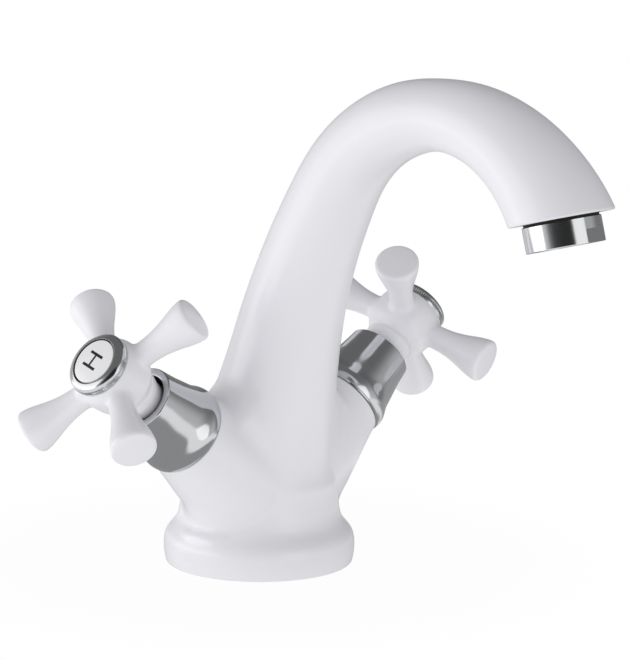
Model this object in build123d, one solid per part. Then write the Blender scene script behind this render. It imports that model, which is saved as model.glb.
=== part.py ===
from build123d import *
import math
import os

# Two-handle basin mixer, in millimetres. The origin is the middle of the base on the deck,
# +Z is up, the spout points to -Y, the hot valve is on -X and the cold valve on +X.

HOT = -1
COLD = 1

# Foot and trunk of the cast body
ground_radius = 30.5
foot_radius = 31.2
foot_bulge_height = 6.0
shoulder_drop = 1.7
shoulder_height = 11.0
shoulder_sag = 0.18
waist_flare = 0.8
shoulder_top_height = 14.8
waist_radius = 26.0
waist_rise = 4.0
waist_height = shoulder_top_height + waist_rise
chest_step = 0.5
chest_rise = 6.2
chest_height = waist_height + chest_rise
breast_step = 1.2
breast_rise = 8.5
breast_height = chest_height + breast_rise
breast_offset = -1.0
breast_lean = 7.0
shoulder_radius = foot_radius - shoulder_drop
shoulder_top_radius = waist_radius + waist_flare
chest_radius = waist_radius - chest_step
breast_radius = waist_radius - breast_step

# Neck and spout: a straight, a slack arc and the crook, then a flare to the outlet
neck_offset = -4.1
neck_rise = 10.5
neck_height = breast_height + neck_rise
neck_lean = 14.8
neck_straight = 31.2
sweep_radius = 206.0
sweep_angle = 16.4
crook_radius = 53.6
crook_angle = 118.0
neck_radius = 16.5
neck_root_step = 3.4
root_flare = breast_radius - neck_root_step - neck_radius
root_flare_decay = 38.0
crown_radius = 11.0
crown_distance = 142.0
crook_flare_power = 1.25
outlet_radius = 16.0
outlet_tilt = 15.5
riser_radius = 8.0
neck_bore_radius = 10.0
crook_bore_radius = 8.0
neck_section_count = 7
crook_section_count = 4
last_section_share = 0.4

# Valve ports on the body
valve_offset = -2.0
valve_tilt = math.radians(36.5)
port_reach = 35.3
port_axis_rise = 2.98
port_height = waist_height + port_axis_rise + port_reach * math.tan(valve_tilt)
port_rim_radius = 14.2
port_flank_radius = 16.0
port_flank_depth = 12.0
port_root_inset = 5.8
port_root_radius = waist_radius - port_root_inset
port_root_reach = 8.8
port_root_depth = (port_reach - port_root_reach) / math.cos(valve_tilt)
port_blend = 10.5
port_thread_radius = 10.45
valve_way_radius = 4.2
valve_way_depth = 6.0
mixing_way_radius = 3.6
mixing_way_depth = 13.0
mixing_way_rise = 13.0

# Underside of the base
recess_radius = 21.5
recess_depth = 5.0
seal_outer_radius = 27.4
seal_width = 3.4
seal_inner_radius = seal_outer_radius - seal_width
seal_height = 2.4
inlet_reach = 13.0
inlet_thread_radius = 4.5
inlet_thread_depth = 12.0
inlet_way_radius = 3.5
stud_offset = 13.5
stud_hole_radius = 3.4
stud_hole_depth = 14.0

# Clearances
thread_clearance = 0.05
running_clearance = 0.05
seal_clearance = 0.03
seat_clearance = 0.1
spline_clearance = 0.06

# Headwork: heights are along the valve axis, from the port face outward
seat_washer_thickness = 1.0
seat_washer_outer_radius = 12.0
hex_across_flats = 21.0
hex_height = 5.5
barrel_radius = 9.0
barrel_top = 17.0
guide_radius = 6.6
guide_top = 19.5
shank_depth = 10.0
shank_relief = 0.8
cage_radius = 9.0
cage_bore_radius = 8.0
cage_shoulder_depth = 9.5
window_width = 9.0
window_top_depth = 11.6
window_height = 3.6
key_width = 3.0
key_height = 2.4
key_reach = 0.9

# Discs and seals in the cage
glide_ring_thickness = 0.6
disc_radius = 7.8
disc_thickness = 3.0
disc_opening_radius = 5.6
disc_opening_offset = 1.0
lap_gap = 0.05
bottom_seal_bore = 4.8

# Spindle
journal_radius = 4.6
drive_flange_radius = 7.6
drive_flange_thickness = 1.5
tang_width = 4.6
tang_length = 12.6
tang_engagement = 1.2
tang_height = 3.1
o_ring_section = 1.8
o_ring_heights = (3.5, 9.0)
o_ring_sides = 6
clip_thickness = 0.7
clip_groove_radius = 3.7
clip_outer_radius = 5.7
clip_opening = 5.0
spline_start = 21.6
spline_end = 35.2
spline_count = 12
spline_tip_radius = 4.0
spline_root_radius = 3.55
spindle_tap_radius = 2.0
spindle_tap_depth = 12.0

# Discs in the cage, stacked down from the window, and the port's depth below them
cage_skirt = 1.35
cage_floor_gap = 2.1
moving_disc_top = -window_top_depth - tang_height + tang_engagement
moving_disc_bottom = moving_disc_top - disc_thickness
fixed_disc_top = moving_disc_bottom - lap_gap
fixed_disc_bottom = fixed_disc_top - disc_thickness
cage_depth = cage_skirt - fixed_disc_bottom
port_depth = cage_depth + cage_floor_gap

# Bonnet
bonnet_gap = 0.3
bonnet_length = 23.3
bonnet_foot_radius = 14.3
bonnet_lip_radius = 14.85
bonnet_lip_height = 2.6
bonnet_throat_radius = 14.35
bonnet_throat_height = 5.0
bonnet_throat_lean = math.radians(33)
bonnet_front_lean = math.radians(2)
bonnet_waist_radius = 13.3
bonnet_waist_height = 7.6
bonnet_front_radius = 10.95
bonnet_front_round = 0.6
bonnet_mouth_radius = 8.3
bonnet_mouth_dish = 0.4

# Cross handle
hub_height = 38.2
hub_radius = 11.7
hub_front_radius = 10.0
hub_front = 44.1
hub_rear_radius = 8.4
hub_rear = 29.6
collar_radius = 8.3
collar_top = 28.9
collar_end_radius = 6.9
collar_mouth = 23.4
collar_end = 20.9
collar_groove_radius = 7.8
arm_neck_radius = 3.95
arm_flare_start = 11.0
arm_flare_end = 30.6
arm_end_radius = 7.4
arm_rim_radius = 6.4
arm_rim_length = 2.9
arm_length = 34.1
arm_rim_share = 0.72
arm_root_blend = 2.0
arm_count = 4
hot_handle_angle = 48.0
cold_handle_angle = 23.0
handle_bore_radius = 8.3
handle_web_top = 38.2
spline_bore_end = 35.6

# Handle screw
screw_head_radius = 3.6
screw_head_height = 2.4
screw_head_bevel = 0.8
screw_length = 11.0
screw_socket_across = 3.0
screw_socket_depth = 1.6

# Index ring and disc
ring_radius = 10.36
ring_band_height = 1.6
ring_band_step = 0.25
ring_shoulder_height = 2.9
ring_top_height = 3.9
ring_crest_radius = 9.0
ring_crest_share = 0.65
ring_opening_radius = 7.7
ring_seat_radius = 6.6
ring_seat_height = 2.2
ring_skirt_length = 4.2
index_disc_thickness = 1.6
index_disc_dome = 0.35

# Aerator in the outlet
aerator_radius = 12.0
aerator_length = 8.0
aerator_shadow_gap = 0.6
aerator_thread_radius = 11.5
aerator_thread_length = 5.5
aerator_bore_radius = 9.8
aerator_lip_radius = 9.2
aerator_lip_height = 1.2
aerator_across_flats = 22.0
aerator_flat_height = 4.2
aerator_edge_break = 0.4
aerator_washer_thickness = 1.6
aerator_washer_bore = 8.6
outlet_socket_depth = 8.5
throat_length = 6.0
insert_top_radius = 10.6
insert_rim_height = 1.0
insert_plate_thickness = 1.6
insert_wall = 0.9
insert_hole_radius = 1.0
insert_hole_count = 6
insert_hole_circle = 6.0
screen_thickness = 0.5
screen_pitch = 2.4
screen_opening = 1.6


def turned(*corners):
    """Revolve (radius, height) corners about the local Z axis."""
    profile = Plane.XZ * make_face(Polyline(*corners, close=True))
    return revolve(profile, Axis.Z)


def ring(inner_radius, outer_radius, bottom, top):
    """Plain ring between two heights."""
    return turned((inner_radius, bottom), (outer_radius, bottom), (outer_radius, top), (inner_radius, top))


def rod(radius, bottom, top):
    """Plain round bar between two heights."""
    return Pos(0, 0, bottom) * Cylinder(radius, top - bottom, align=(Align.CENTER, Align.CENTER, Align.MIN))


def dome_middle(radius, rise):
    """Middle of a low dome's arc: its distance from the axis and its height above the rim."""
    ball_radius = (radius**2 + rise**2) / (2 * rise)
    half_angle = math.asin(radius / ball_radius) / 2
    return ball_radius * math.sin(half_angle), rise - ball_radius * (1 - math.cos(half_angle))


def valve_plane(side):
    """Plane at a port's face: Z runs outward along the valve axis and X points up the face."""
    return Plane(
        origin=(side * port_reach, valve_offset, port_height),
        x_dir=(-side * math.sin(valve_tilt), 0, math.cos(valve_tilt)),
        z_dir=(side * math.cos(valve_tilt), 0, math.sin(valve_tilt)),
    )


def arc_point(start, lean, radius, turn):
    """Point and lean at the end of an arc that turns the neck further forward."""
    centre = (start[0] - math.cos(lean) * radius, start[1] - math.sin(lean) * radius)
    end_lean = lean + turn
    return (centre[0] + math.cos(end_lean) * radius, centre[1] + math.sin(end_lean) * radius), end_lean


def neck_point(distance):
    """Y, Z and lean from vertical of the spout's centre line, this far along it."""
    lean = math.radians(neck_lean)
    along = min(distance, neck_straight)
    point = (neck_offset - math.sin(lean) * along, neck_height + math.cos(lean) * along)
    left = distance - along
    turn = min(left / sweep_radius, math.radians(sweep_angle))
    point, lean = arc_point(point, lean, sweep_radius, turn)
    left -= turn * sweep_radius
    point, lean = arc_point(point, lean, crook_radius, left / crook_radius)
    return point, lean


sweep_length = math.radians(sweep_angle) * sweep_radius
spout_length = neck_straight + sweep_length + math.radians(crook_angle) * crook_radius


def spout_radius(distance):
    """Outer radius: a flared root, an even taper to the crown and a flare to the outlet."""
    flare = root_flare * math.exp(-distance / root_flare_decay)
    if distance <= crown_distance:
        return crown_radius + (neck_radius - crown_radius) * (1 - distance / crown_distance) + flare
    past_crown = (distance - crown_distance) / (spout_length - crown_distance)
    return crown_radius + (outlet_radius - crown_radius) * past_crown**crook_flare_power + flare


def spout_section(distance, radius):
    """Round section square to the centre line, with its seam at the back."""
    return spout_plane(distance) * Circle(radius)


def waterway():
    """Cored way up the neck: a widening riser, then a round bore along each of the two arcs."""
    riser = spout_plane(0) * Cone(
        riser_radius,
        neck_bore_radius,
        neck_straight,
        align=(Align.CENTER, Align.CENTER, Align.MIN),
    )
    neck_bore = arc_bore(neck_straight, sweep_radius, sweep_angle, neck_bore_radius)
    crook_bore = arc_bore(neck_straight + sweep_length, crook_radius, crook_angle, crook_bore_radius)
    return [riser, neck_bore, crook_bore]


def arc_bore(distance, arc_radius, arc_angle, radius):
    """Round bore along one arc of the centre line that starts at a distance."""
    (y, z), lean = neck_point(distance)
    centre = (0, y - math.cos(lean) * arc_radius, z - math.sin(lean) * arc_radius)
    return revolve(spout_section(distance, radius), Axis(centre, (1, 0, 0)), revolution_arc=arc_angle)


def leaning_plane(y, z, lean):
    """Plane at a point of the middle plane, with Z up the body, leaning forward, and X to the back."""
    return Plane(
        origin=(0, y, z),
        x_dir=(0, math.cos(lean), math.sin(lean)),
        z_dir=(0, -math.sin(lean), math.cos(lean)),
    )


def spout_plane(distance):
    """Plane square to the centre line of the spout."""
    (y, z), lean = neck_point(distance)
    return leaning_plane(y, z, lean)


def outlet_plane():
    """Plane of the spout's end face, with Z back up into the spout and X to the front."""
    (y, z), _ = neck_point(spout_length)
    tilt = math.radians(outlet_tilt)
    return Plane(
        origin=(0, y, z),
        x_dir=(0, -math.cos(tilt), math.sin(tilt)),
        z_dir=(0, math.sin(tilt), math.cos(tilt)),
    )


def spout_stations():
    """Distances of the sections: even up the neck, then even round the crook."""
    up_neck = [crown_distance * step / neck_section_count for step in range(neck_section_count)]
    round_crook = (spout_length - crown_distance) / (crook_section_count + last_section_share)
    return up_neck + [crown_distance + round_crook * step for step in range(crook_section_count + 1)]


def port_horn():
    """Outside of one valve port, opening as it runs back into the trunk."""
    with BuildSketch(Plane.XZ) as horn:
        with BuildLine():
            Polyline((port_root_radius, -port_root_depth), (0, -port_root_depth), (0, 0), (port_rim_radius, 0))
            ThreePointArc(
                (port_rim_radius, 0),
                (port_flank_radius, -port_flank_depth),
                (port_root_radius, -port_root_depth),
            )
        make_face()
    return revolve(horn.sketch, Axis.Z)


def body_casting():
    """Outside of the one-piece casting: foot, trunk, neck, spout and both ports."""
    with BuildSketch(Plane.XZ) as foot_profile:
        with BuildLine():
            Polyline((shoulder_top_radius, shoulder_top_height), (0, shoulder_top_height), (0, 0), (ground_radius, 0))
            ThreePointArc((ground_radius, 0), (foot_radius, foot_bulge_height), (shoulder_radius, shoulder_height))
            SagittaArc(
                (shoulder_radius, shoulder_height),
                (shoulder_top_radius, shoulder_top_height),
                -shoulder_sag * (shoulder_radius - shoulder_top_radius),
            )
        make_face()
    foot = revolve(foot_profile.sketch, Axis.Z)

    sections = [
        leaning_plane(0, shoulder_top_height, 0) * Circle(shoulder_top_radius),
        leaning_plane(0, waist_height, 0) * Circle(waist_radius),
        leaning_plane(0, chest_height, 0) * Circle(chest_radius),
        leaning_plane(breast_offset, breast_height, math.radians(breast_lean)) * Circle(breast_radius),
    ]
    sections += [spout_section(distance, spout_radius(distance)) for distance in spout_stations()]
    (outlet_y, outlet_z), _ = neck_point(spout_length)
    end_lean = math.pi - math.radians(outlet_tilt)
    sections.append(leaning_plane(outlet_y, outlet_z, end_lean) * Circle(outlet_radius))
    trunk = loft(sections)

    outside = foot + trunk
    for side in (HOT, COLD):
        outside += valve_plane(side) * port_horn()
    return outside


def blend_ports(outside):
    """Round the crotch where each port grows out of the trunk, and break the port's rim."""
    roots = outside.edges().filter_by(lambda edge: edge.geom_type == GeomType.BSPLINE)
    roots = roots.filter_by(lambda edge: abs(edge.center().X) > port_rim_radius / 2)
    roots = roots.filter_by(lambda edge: shoulder_top_height < edge.center().Z < port_height)
    return outside.fillet(port_blend, roots)


def make_body():
    """Cast body with its waterways, valve ports, outlet socket and underside."""
    body = blend_ports(body_casting())
    socket = outlet_plane() * rod(aerator_thread_radius + thread_clearance, -1.0, outlet_socket_depth)
    throat = outlet_plane() * rod(aerator_washer_bore, 0, outlet_socket_depth + throat_length)
    body -= waterway() + [socket, throat]

    for side in (HOT, COLD):
        port = valve_plane(side)
        bore_in_port = port * rod(port_thread_radius, -port_depth, 1.0)
        valve_way = port * rod(valve_way_radius, -port_depth - valve_way_depth, -port_depth)
        start = port.from_local_coords(Vector(0, 0, -mixing_way_depth))
        finish = Vector(0, neck_offset, neck_height + mixing_way_rise)
        mixing_way = Solid.extrude(
            Face(Wire.make_circle(mixing_way_radius, Plane(origin=start, z_dir=finish - start))),
            finish - start,
        )
        way_top = port_height - (port_reach - inlet_reach) * math.tan(valve_tilt)
        inlet_way = Pos(side * inlet_reach, valve_offset, 0) * rod(inlet_way_radius, recess_depth, way_top)
        inlet_thread = Pos(side * inlet_reach, valve_offset, 0) * rod(
            inlet_thread_radius, recess_depth, recess_depth + inlet_thread_depth
        )
        body -= [bore_in_port, valve_way, mixing_way, inlet_way, inlet_thread]

    stud_hole = Pos(0, stud_offset, 0) * rod(stud_hole_radius, recess_depth, recess_depth + stud_hole_depth)
    recess = rod(recess_radius, -1.0, recess_depth)
    seal_groove = ring(
        seal_inner_radius - seat_clearance, seal_outer_radius + seat_clearance, -1.0, seal_height + seat_clearance
    )
    body -= [stud_hole, recess, seal_groove]
    return body


def make_base_seal():
    """Rubber ring between the foot and the deck."""
    return ring(seal_inner_radius, seal_outer_radius, 0, seal_height)


def make_headwork_body():
    """Brass headwork: hexagon, bonnet barrel and guide above, threaded shank and cage below."""
    bottom = seat_washer_thickness
    hexagon = Pos(0, 0, bottom) * extrude(RegularPolygon(hex_across_flats / 2, 6, major_radius=False), hex_height)
    shank_radius = port_thread_radius - thread_clearance
    turned_body = turned(
        (0, -cage_depth),
        (cage_radius, -cage_depth),
        (cage_radius, -shank_depth),
        (shank_radius - shank_relief, -shank_depth),
        (shank_radius, -shank_depth + shank_relief),
        (shank_radius, bottom),
        (barrel_radius, bottom),
        (barrel_radius, barrel_top),
        (guide_radius, barrel_top),
        (guide_radius, guide_top),
        (0, guide_top),
    )
    body = turned_body + hexagon
    body -= rod(journal_radius + running_clearance, -cage_depth - 1, guide_top + 1)
    body -= rod(cage_bore_radius, -cage_depth - 1, -cage_shoulder_depth)
    window = Pos(0, 0, -window_top_depth - window_height / 2) * Box(3 * cage_radius, window_width, window_height)
    keyway = Pos(0, 0, -cage_depth + key_height / 2) * Box(
        key_width, 2 * (cage_bore_radius + key_reach), key_height
    )
    return body - window - keyway


def make_seat_washer():
    """Fibre washer between the hexagon and the port face."""
    return ring(port_thread_radius, seat_washer_outer_radius, 0, seat_washer_thickness)


def half_moon():
    """Opening of a half-turn disc: half a circle, held off the middle line."""
    full = Circle(disc_opening_radius)
    return full & Pos(disc_opening_radius + disc_opening_offset, 0) * Rectangle(
        2 * disc_opening_radius, 4 * disc_opening_radius
    )


def make_moving_disc():
    """Ceramic disc turned by the spindle's tang, with its half-moon opening."""
    disc = rod(disc_radius, moving_disc_bottom, moving_disc_top)
    opening = Pos(0, 0, moving_disc_bottom - 1) * extrude(half_moon(), disc_thickness + 2)
    slot = Pos(0, 0, moving_disc_top) * Box(
        tang_width + 2 * seat_clearance, tang_length + 2 * seat_clearance, 2 * (tang_engagement + seat_clearance)
    )
    return disc - opening - slot


def make_fixed_disc():
    """Ceramic disc keyed in the cage, with the same opening half a turn away when shut."""
    disc = rod(disc_radius + running_clearance, fixed_disc_bottom, fixed_disc_top)
    key_length = 2 * (cage_bore_radius + key_reach - seat_clearance)
    key_top = -cage_depth + key_height - seat_clearance
    keys = Pos(0, 0, (fixed_disc_bottom + key_top) / 2) * Box(
        key_width - 2 * seat_clearance, key_length, key_top - fixed_disc_bottom
    )
    opening = Pos(0, 0, fixed_disc_bottom - 1) * extrude(Rot(0, 0, 180) * half_moon(), disc_thickness + 2)
    return disc + keys - opening


def make_bottom_seal():
    """Rubber ring that seals the fixed disc on the valve seat."""
    return ring(bottom_seal_bore, disc_radius, -port_depth, fixed_disc_bottom)


def make_glide_ring():
    """Low-friction ring that carries the spindle's flange under the cage shoulder."""
    return ring(
        journal_radius + 2 * seat_clearance,
        cage_bore_radius - seat_clearance,
        -cage_shoulder_depth - glide_ring_thickness,
        -cage_shoulder_depth,
    )


def spline_star(tip, root):
    """Outline of a splined bar: an even star of straight-sided teeth."""
    corners = []
    for tooth in range(spline_count):
        for share, radius in ((0.0, tip), (0.25, tip), (0.5, root), (0.75, root)):
            angle = 2 * math.pi * (tooth + share) / spline_count
            corners.append((radius * math.cos(angle), radius * math.sin(angle)))
    return make_face(Polyline(*corners, close=True))


def make_spindle():
    """Brass spindle: tang and flange in the cage, grooved journal, clip groove and splines."""
    flange_top = -cage_shoulder_depth - glide_ring_thickness - lap_gap
    flange_bottom = flange_top - drive_flange_thickness
    clip_bottom = guide_top + seat_clearance
    clip_top = clip_bottom + clip_thickness + 2 * seat_clearance
    tang_bottom = -window_top_depth - tang_height
    spindle = rod(journal_radius, flange_top, spline_start)
    spindle += rod(drive_flange_radius, flange_bottom, flange_top)
    spindle += Pos(0, 0, (flange_bottom + tang_bottom) / 2) * Box(
        tang_width, tang_length, flange_bottom - tang_bottom
    )
    spindle += Pos(0, 0, spline_start) * extrude(
        spline_star(spline_tip_radius, spline_root_radius), spline_end - spline_start
    )
    for height in o_ring_heights:
        half_groove = o_ring_section / 2 + seat_clearance
        spindle -= ring(o_ring_groove_radius(), journal_radius + 1, height - half_groove, height + half_groove)
    spindle -= ring(clip_groove_radius, journal_radius + 1, clip_bottom, clip_top)
    spindle -= rod(spindle_tap_radius, spline_end - spindle_tap_depth, spline_end + 1)
    return spindle


def o_ring_groove_radius():
    """Floor of an O-ring groove, from the bore that the ring seals against."""
    return journal_radius + running_clearance - seal_clearance - o_ring_section


def make_o_rings():
    """Two O-rings on the spindle, just clear of the bore."""
    centre_radius = o_ring_groove_radius() + o_ring_section / 2
    section_radius = o_ring_section / 2 - seal_clearance / 2
    o_rings = []
    for height in o_ring_heights:
        section = Plane.XZ * Pos(centre_radius, height) * RegularPolygon(section_radius, o_ring_sides)
        o_rings.append(revolve(section, Axis.Z))
    return o_rings


def make_clip():
    """Open retaining clip that holds the spindle down on the guide."""
    bottom = guide_top + 2 * seat_clearance
    clip = ring(clip_groove_radius + running_clearance, clip_outer_radius, bottom, bottom + clip_thickness)
    gap = Pos(clip_outer_radius, 0, guide_top) * Box(2 * clip_outer_radius, clip_opening, 4 * clip_thickness)
    return clip - gap


def make_bonnet():
    """Bell-shaped cover: rounded lip at the body, a flared waist and a dished mouth."""
    front = bonnet_length
    with BuildSketch(Plane.XZ) as bell:
        with BuildLine():
            ThreePointArc(
                (bonnet_foot_radius, bonnet_gap),
                (bonnet_lip_radius, bonnet_lip_height),
                (bonnet_throat_radius, bonnet_throat_height),
            )
            Spline(
                (bonnet_throat_radius, bonnet_throat_height),
                (bonnet_waist_radius, bonnet_waist_height),
                (bonnet_front_radius, front - bonnet_front_round),
                tangents=(
                    (-math.sin(bonnet_throat_lean), math.cos(bonnet_throat_lean)),
                    (-math.sin(bonnet_front_lean), math.cos(bonnet_front_lean)),
                ),
            )
            Polyline(
                (bonnet_front_radius, front - bonnet_front_round),
                (bonnet_front_radius - bonnet_front_round, front),
                (bonnet_mouth_radius, front - bonnet_mouth_dish),
                (bonnet_mouth_radius, barrel_top + seat_clearance),
                (barrel_radius + thread_clearance, barrel_top + seat_clearance),
                (barrel_radius + thread_clearance, hex_room_top()),
                (hex_room_radius(), hex_room_top()),
                (hex_room_radius(), bonnet_gap),
                (bonnet_foot_radius, bonnet_gap),
            )
        make_face()
    return revolve(bell.sketch, Axis.Z)


def hex_room_radius():
    """Radius inside the bonnet that clears the hexagon's corners."""
    return hex_across_flats / math.sqrt(3) + 2 * seat_clearance


def hex_room_top():
    """Top of the bonnet's room for the hexagon."""
    return seat_washer_thickness + hex_height + 4 * seat_clearance


def cross_arm():
    """Solid of one arm: a straight neck, a trumpet flare, a round rim and a low domed end."""
    rim_end = arm_flare_end + arm_rim_length
    middle_radius, middle_rise = dome_middle(arm_rim_radius, arm_length - rim_end)
    with BuildSketch() as half_arm:
        with BuildLine():
            Polyline((arm_length, 0), (0, 0), (0, arm_neck_radius), (arm_flare_start, arm_neck_radius))
            TangentArc((arm_flare_start, arm_neck_radius), (arm_flare_end, arm_end_radius), tangent=(1, 0))
            ThreePointArc(
                (arm_flare_end, arm_end_radius),
                (
                    arm_flare_end + arm_rim_share * arm_rim_length,
                    arm_rim_radius + arm_rim_share * (arm_end_radius - arm_rim_radius),
                ),
                (rim_end, arm_rim_radius),
            )
            ThreePointArc((rim_end, arm_rim_radius), (rim_end + middle_rise, middle_radius), (arm_length, 0))
        make_face()
    return revolve(half_arm.sketch, Axis.X)


def make_handle(turn):
    """Cross handle in one casting: hub, four arms and the collar that enters the bonnet."""
    with BuildSketch(Plane.XZ) as hub_profile:
        with BuildLine():
            Polyline((0, collar_end), (collar_end_radius, collar_end), (collar_end_radius, collar_mouth))
            Line((collar_end_radius, collar_mouth), (collar_radius, collar_top))
            Polyline(
                (collar_radius, collar_top),
                (collar_groove_radius, (collar_top + hub_rear) / 2),
                (hub_rear_radius, hub_rear),
            )
            ThreePointArc((hub_rear_radius, hub_rear), (hub_radius, hub_height), (hub_front_radius, hub_front))
            Polyline((hub_front_radius, hub_front), (0, hub_front), (0, collar_end))
        make_face()
    hub = revolve(hub_profile.sketch, Axis.Z)
    handle = hub
    for index in range(arm_count):
        handle += Pos(0, 0, hub_height) * Rot(0, 0, turn + index * 360 / arm_count) * cross_arm()
    roots = handle.edges().filter_by(lambda edge: edge.geom_type not in (GeomType.CIRCLE, GeomType.LINE))
    roots = roots.filter_by(lambda edge: abs(edge.center().Z - hub_height) < arm_neck_radius)
    handle = handle.fillet(arm_root_blend, roots)
    handle -= rod(handle_bore_radius, handle_web_top, hub_front + 1)
    handle -= rod(spindle_tap_radius + seat_clearance, collar_end - 1, hub_front)
    splines = spline_star(spline_tip_radius + spline_clearance, spline_root_radius + spline_clearance)
    handle -= Pos(0, 0, spline_start - seat_clearance) * extrude(
        splines, spline_bore_end - spline_start + seat_clearance
    )
    handle -= rod(clip_outer_radius + seat_clearance, collar_end - 1, spline_start)
    return handle


def make_screw():
    """Handle screw with a round head and a hexagon socket."""
    shank_radius = spindle_tap_radius - thread_clearance
    head_top = handle_web_top + screw_head_height
    screw = turned(
        (0, handle_web_top - screw_length),
        (shank_radius, handle_web_top - screw_length),
        (shank_radius, handle_web_top),
        (screw_head_radius, handle_web_top),
        (screw_head_radius, head_top - screw_head_bevel),
        (screw_head_radius - screw_head_bevel, head_top),
        (0, head_top),
    )
    socket_bottom = handle_web_top + screw_head_height - screw_socket_depth
    socket = Pos(0, 0, socket_bottom) * extrude(
        RegularPolygon(screw_socket_across / 2, 6, major_radius=False), screw_socket_depth + 1
    )
    return screw - socket


def make_index_ring():
    """Chrome ring: rear band, domed front, skirt in the hub and a seat for the disc."""
    band_top = hub_front + ring_band_height
    front = hub_front + ring_top_height
    seat = hub_front + ring_seat_height
    shoulder = hub_front + ring_shoulder_height
    neck_of_ring = ring_radius - ring_band_step
    skirt_radius = handle_bore_radius - running_clearance
    with BuildSketch(Plane.XZ) as ring_profile:
        with BuildLine():
            Polyline(
                (skirt_radius, hub_front),
                (ring_radius, hub_front),
                (ring_radius, band_top),
                (neck_of_ring, band_top + ring_band_step),
                (neck_of_ring, shoulder),
            )
            ThreePointArc(
                (neck_of_ring, shoulder),
                (
                    ring_crest_radius + ring_crest_share * (neck_of_ring - ring_crest_radius),
                    shoulder + ring_crest_share * (front - shoulder),
                ),
                (ring_crest_radius, front),
            )
            Polyline(
                (ring_crest_radius, front),
                (ring_opening_radius, front),
                (ring_opening_radius, seat),
                (ring_seat_radius, seat),
                (ring_seat_radius, hub_front - ring_skirt_length),
                (skirt_radius, hub_front - ring_skirt_length),
                (skirt_radius, hub_front),
            )
        make_face()
    return revolve(ring_profile.sketch, Axis.Z)


def make_index_disc():
    """Porcelain index disc with a gently domed face."""
    bottom = hub_front + ring_seat_height
    top = bottom + index_disc_thickness
    rim_height = top - index_disc_dome
    radius = ring_opening_radius - seat_clearance
    middle_radius, middle_rise = dome_middle(radius, index_disc_dome)
    with BuildSketch(Plane.XZ) as disc_profile:
        with BuildLine():
            Polyline((0, top), (0, bottom), (radius, bottom), (radius, rim_height))
            ThreePointArc((radius, rim_height), (middle_radius, rim_height + middle_rise), (0, top))
        make_face()
    return revolve(disc_profile.sketch, Axis.Z)


def make_aerator_housing():
    """Aerator housing: male thread in the spout, round barrel with two wrench flats."""
    top = -aerator_shadow_gap
    bottom = top - aerator_length
    housing = turned(
        (aerator_bore_radius, bottom + aerator_lip_height),
        (aerator_lip_radius, bottom + aerator_lip_height),
        (aerator_lip_radius, bottom),
        (aerator_radius - aerator_edge_break, bottom),
        (aerator_radius, bottom + aerator_edge_break),
        (aerator_radius, top),
        (aerator_thread_radius, top),
        (aerator_thread_radius, aerator_thread_length),
        (aerator_bore_radius, aerator_thread_length),
    )
    housing -= turned(
        (aerator_bore_radius - 1, aerator_thread_length - insert_rim_height),
        (insert_top_radius + seat_clearance, aerator_thread_length - insert_rim_height),
        (insert_top_radius + seat_clearance, aerator_thread_length + 1),
        (aerator_bore_radius - 1, aerator_thread_length + 1),
    )
    for front in (-1, 1):
        middle = front * (aerator_across_flats / 2 + aerator_radius)
        housing -= Pos(middle, 0, bottom) * Box(2 * aerator_radius, 2 * aerator_radius, 2 * aerator_flat_height)
    return housing


def make_aerator_insert():
    """Plastic flow insert: a rim on the housing, a thin wall and a holed plate."""
    top = aerator_thread_length
    outer = aerator_bore_radius - seat_clearance
    bottom = -aerator_shadow_gap - aerator_length + aerator_lip_height + screen_thickness + 2 * seat_clearance
    insert = turned(
        (outer - insert_wall, bottom),
        (outer, bottom),
        (outer, top - insert_rim_height),
        (insert_top_radius, top - insert_rim_height),
        (insert_top_radius, top),
        (0, top),
        (0, top - insert_plate_thickness),
        (outer - insert_wall, top - insert_plate_thickness),
    )
    for index in range(insert_hole_count):
        angle = 2 * math.pi * index / insert_hole_count
        hole = Pos(insert_hole_circle * math.cos(angle), insert_hole_circle * math.sin(angle), 0)
        insert -= hole * rod(insert_hole_radius, top - 2 * insert_plate_thickness, top + 1)
    return insert


def make_aerator_screen():
    """Square-holed screen that rests on the housing's lip."""
    bottom = -aerator_shadow_gap - aerator_length + aerator_lip_height
    screen = rod(aerator_bore_radius - seat_clearance, bottom, bottom + screen_thickness)
    hole = Box(screen_opening, screen_opening, 4 * screen_thickness)
    reach = int(aerator_bore_radius / screen_pitch)
    holes = []
    for column in range(-reach, reach + 1):
        for row in range(-reach, reach + 1):
            x = column * screen_pitch
            y = row * screen_pitch
            corner = math.hypot(abs(x) + screen_opening / 2, abs(y) + screen_opening / 2)
            if corner < aerator_lip_radius:
                holes.append(Pos(x, y, bottom) * hole)
    return screen - holes


def make_aerator_washer():
    """Rubber washer between the aerator and the bottom of the outlet socket."""
    bottom = aerator_thread_length
    outer_radius = aerator_thread_radius - seat_clearance
    return ring(aerator_washer_bore, outer_radius, bottom, bottom + aerator_washer_thickness)


def write(name, shape):
    """Write one sub-part, a solid or a list of separate solids."""
    if isinstance(shape, list):
        shape = Compound(children=shape)
    export_step(shape, f"parts/{name}.step")


os.makedirs("parts", exist_ok=True)

write("mixer_body", make_body())
write("base_seal", make_base_seal())
outlet = outlet_plane()
write("aerator_housing", outlet * make_aerator_housing())
write("aerator_insert", outlet * make_aerator_insert())
write("aerator_screen", outlet * make_aerator_screen())
write("aerator_washer", outlet * make_aerator_washer())

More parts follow.
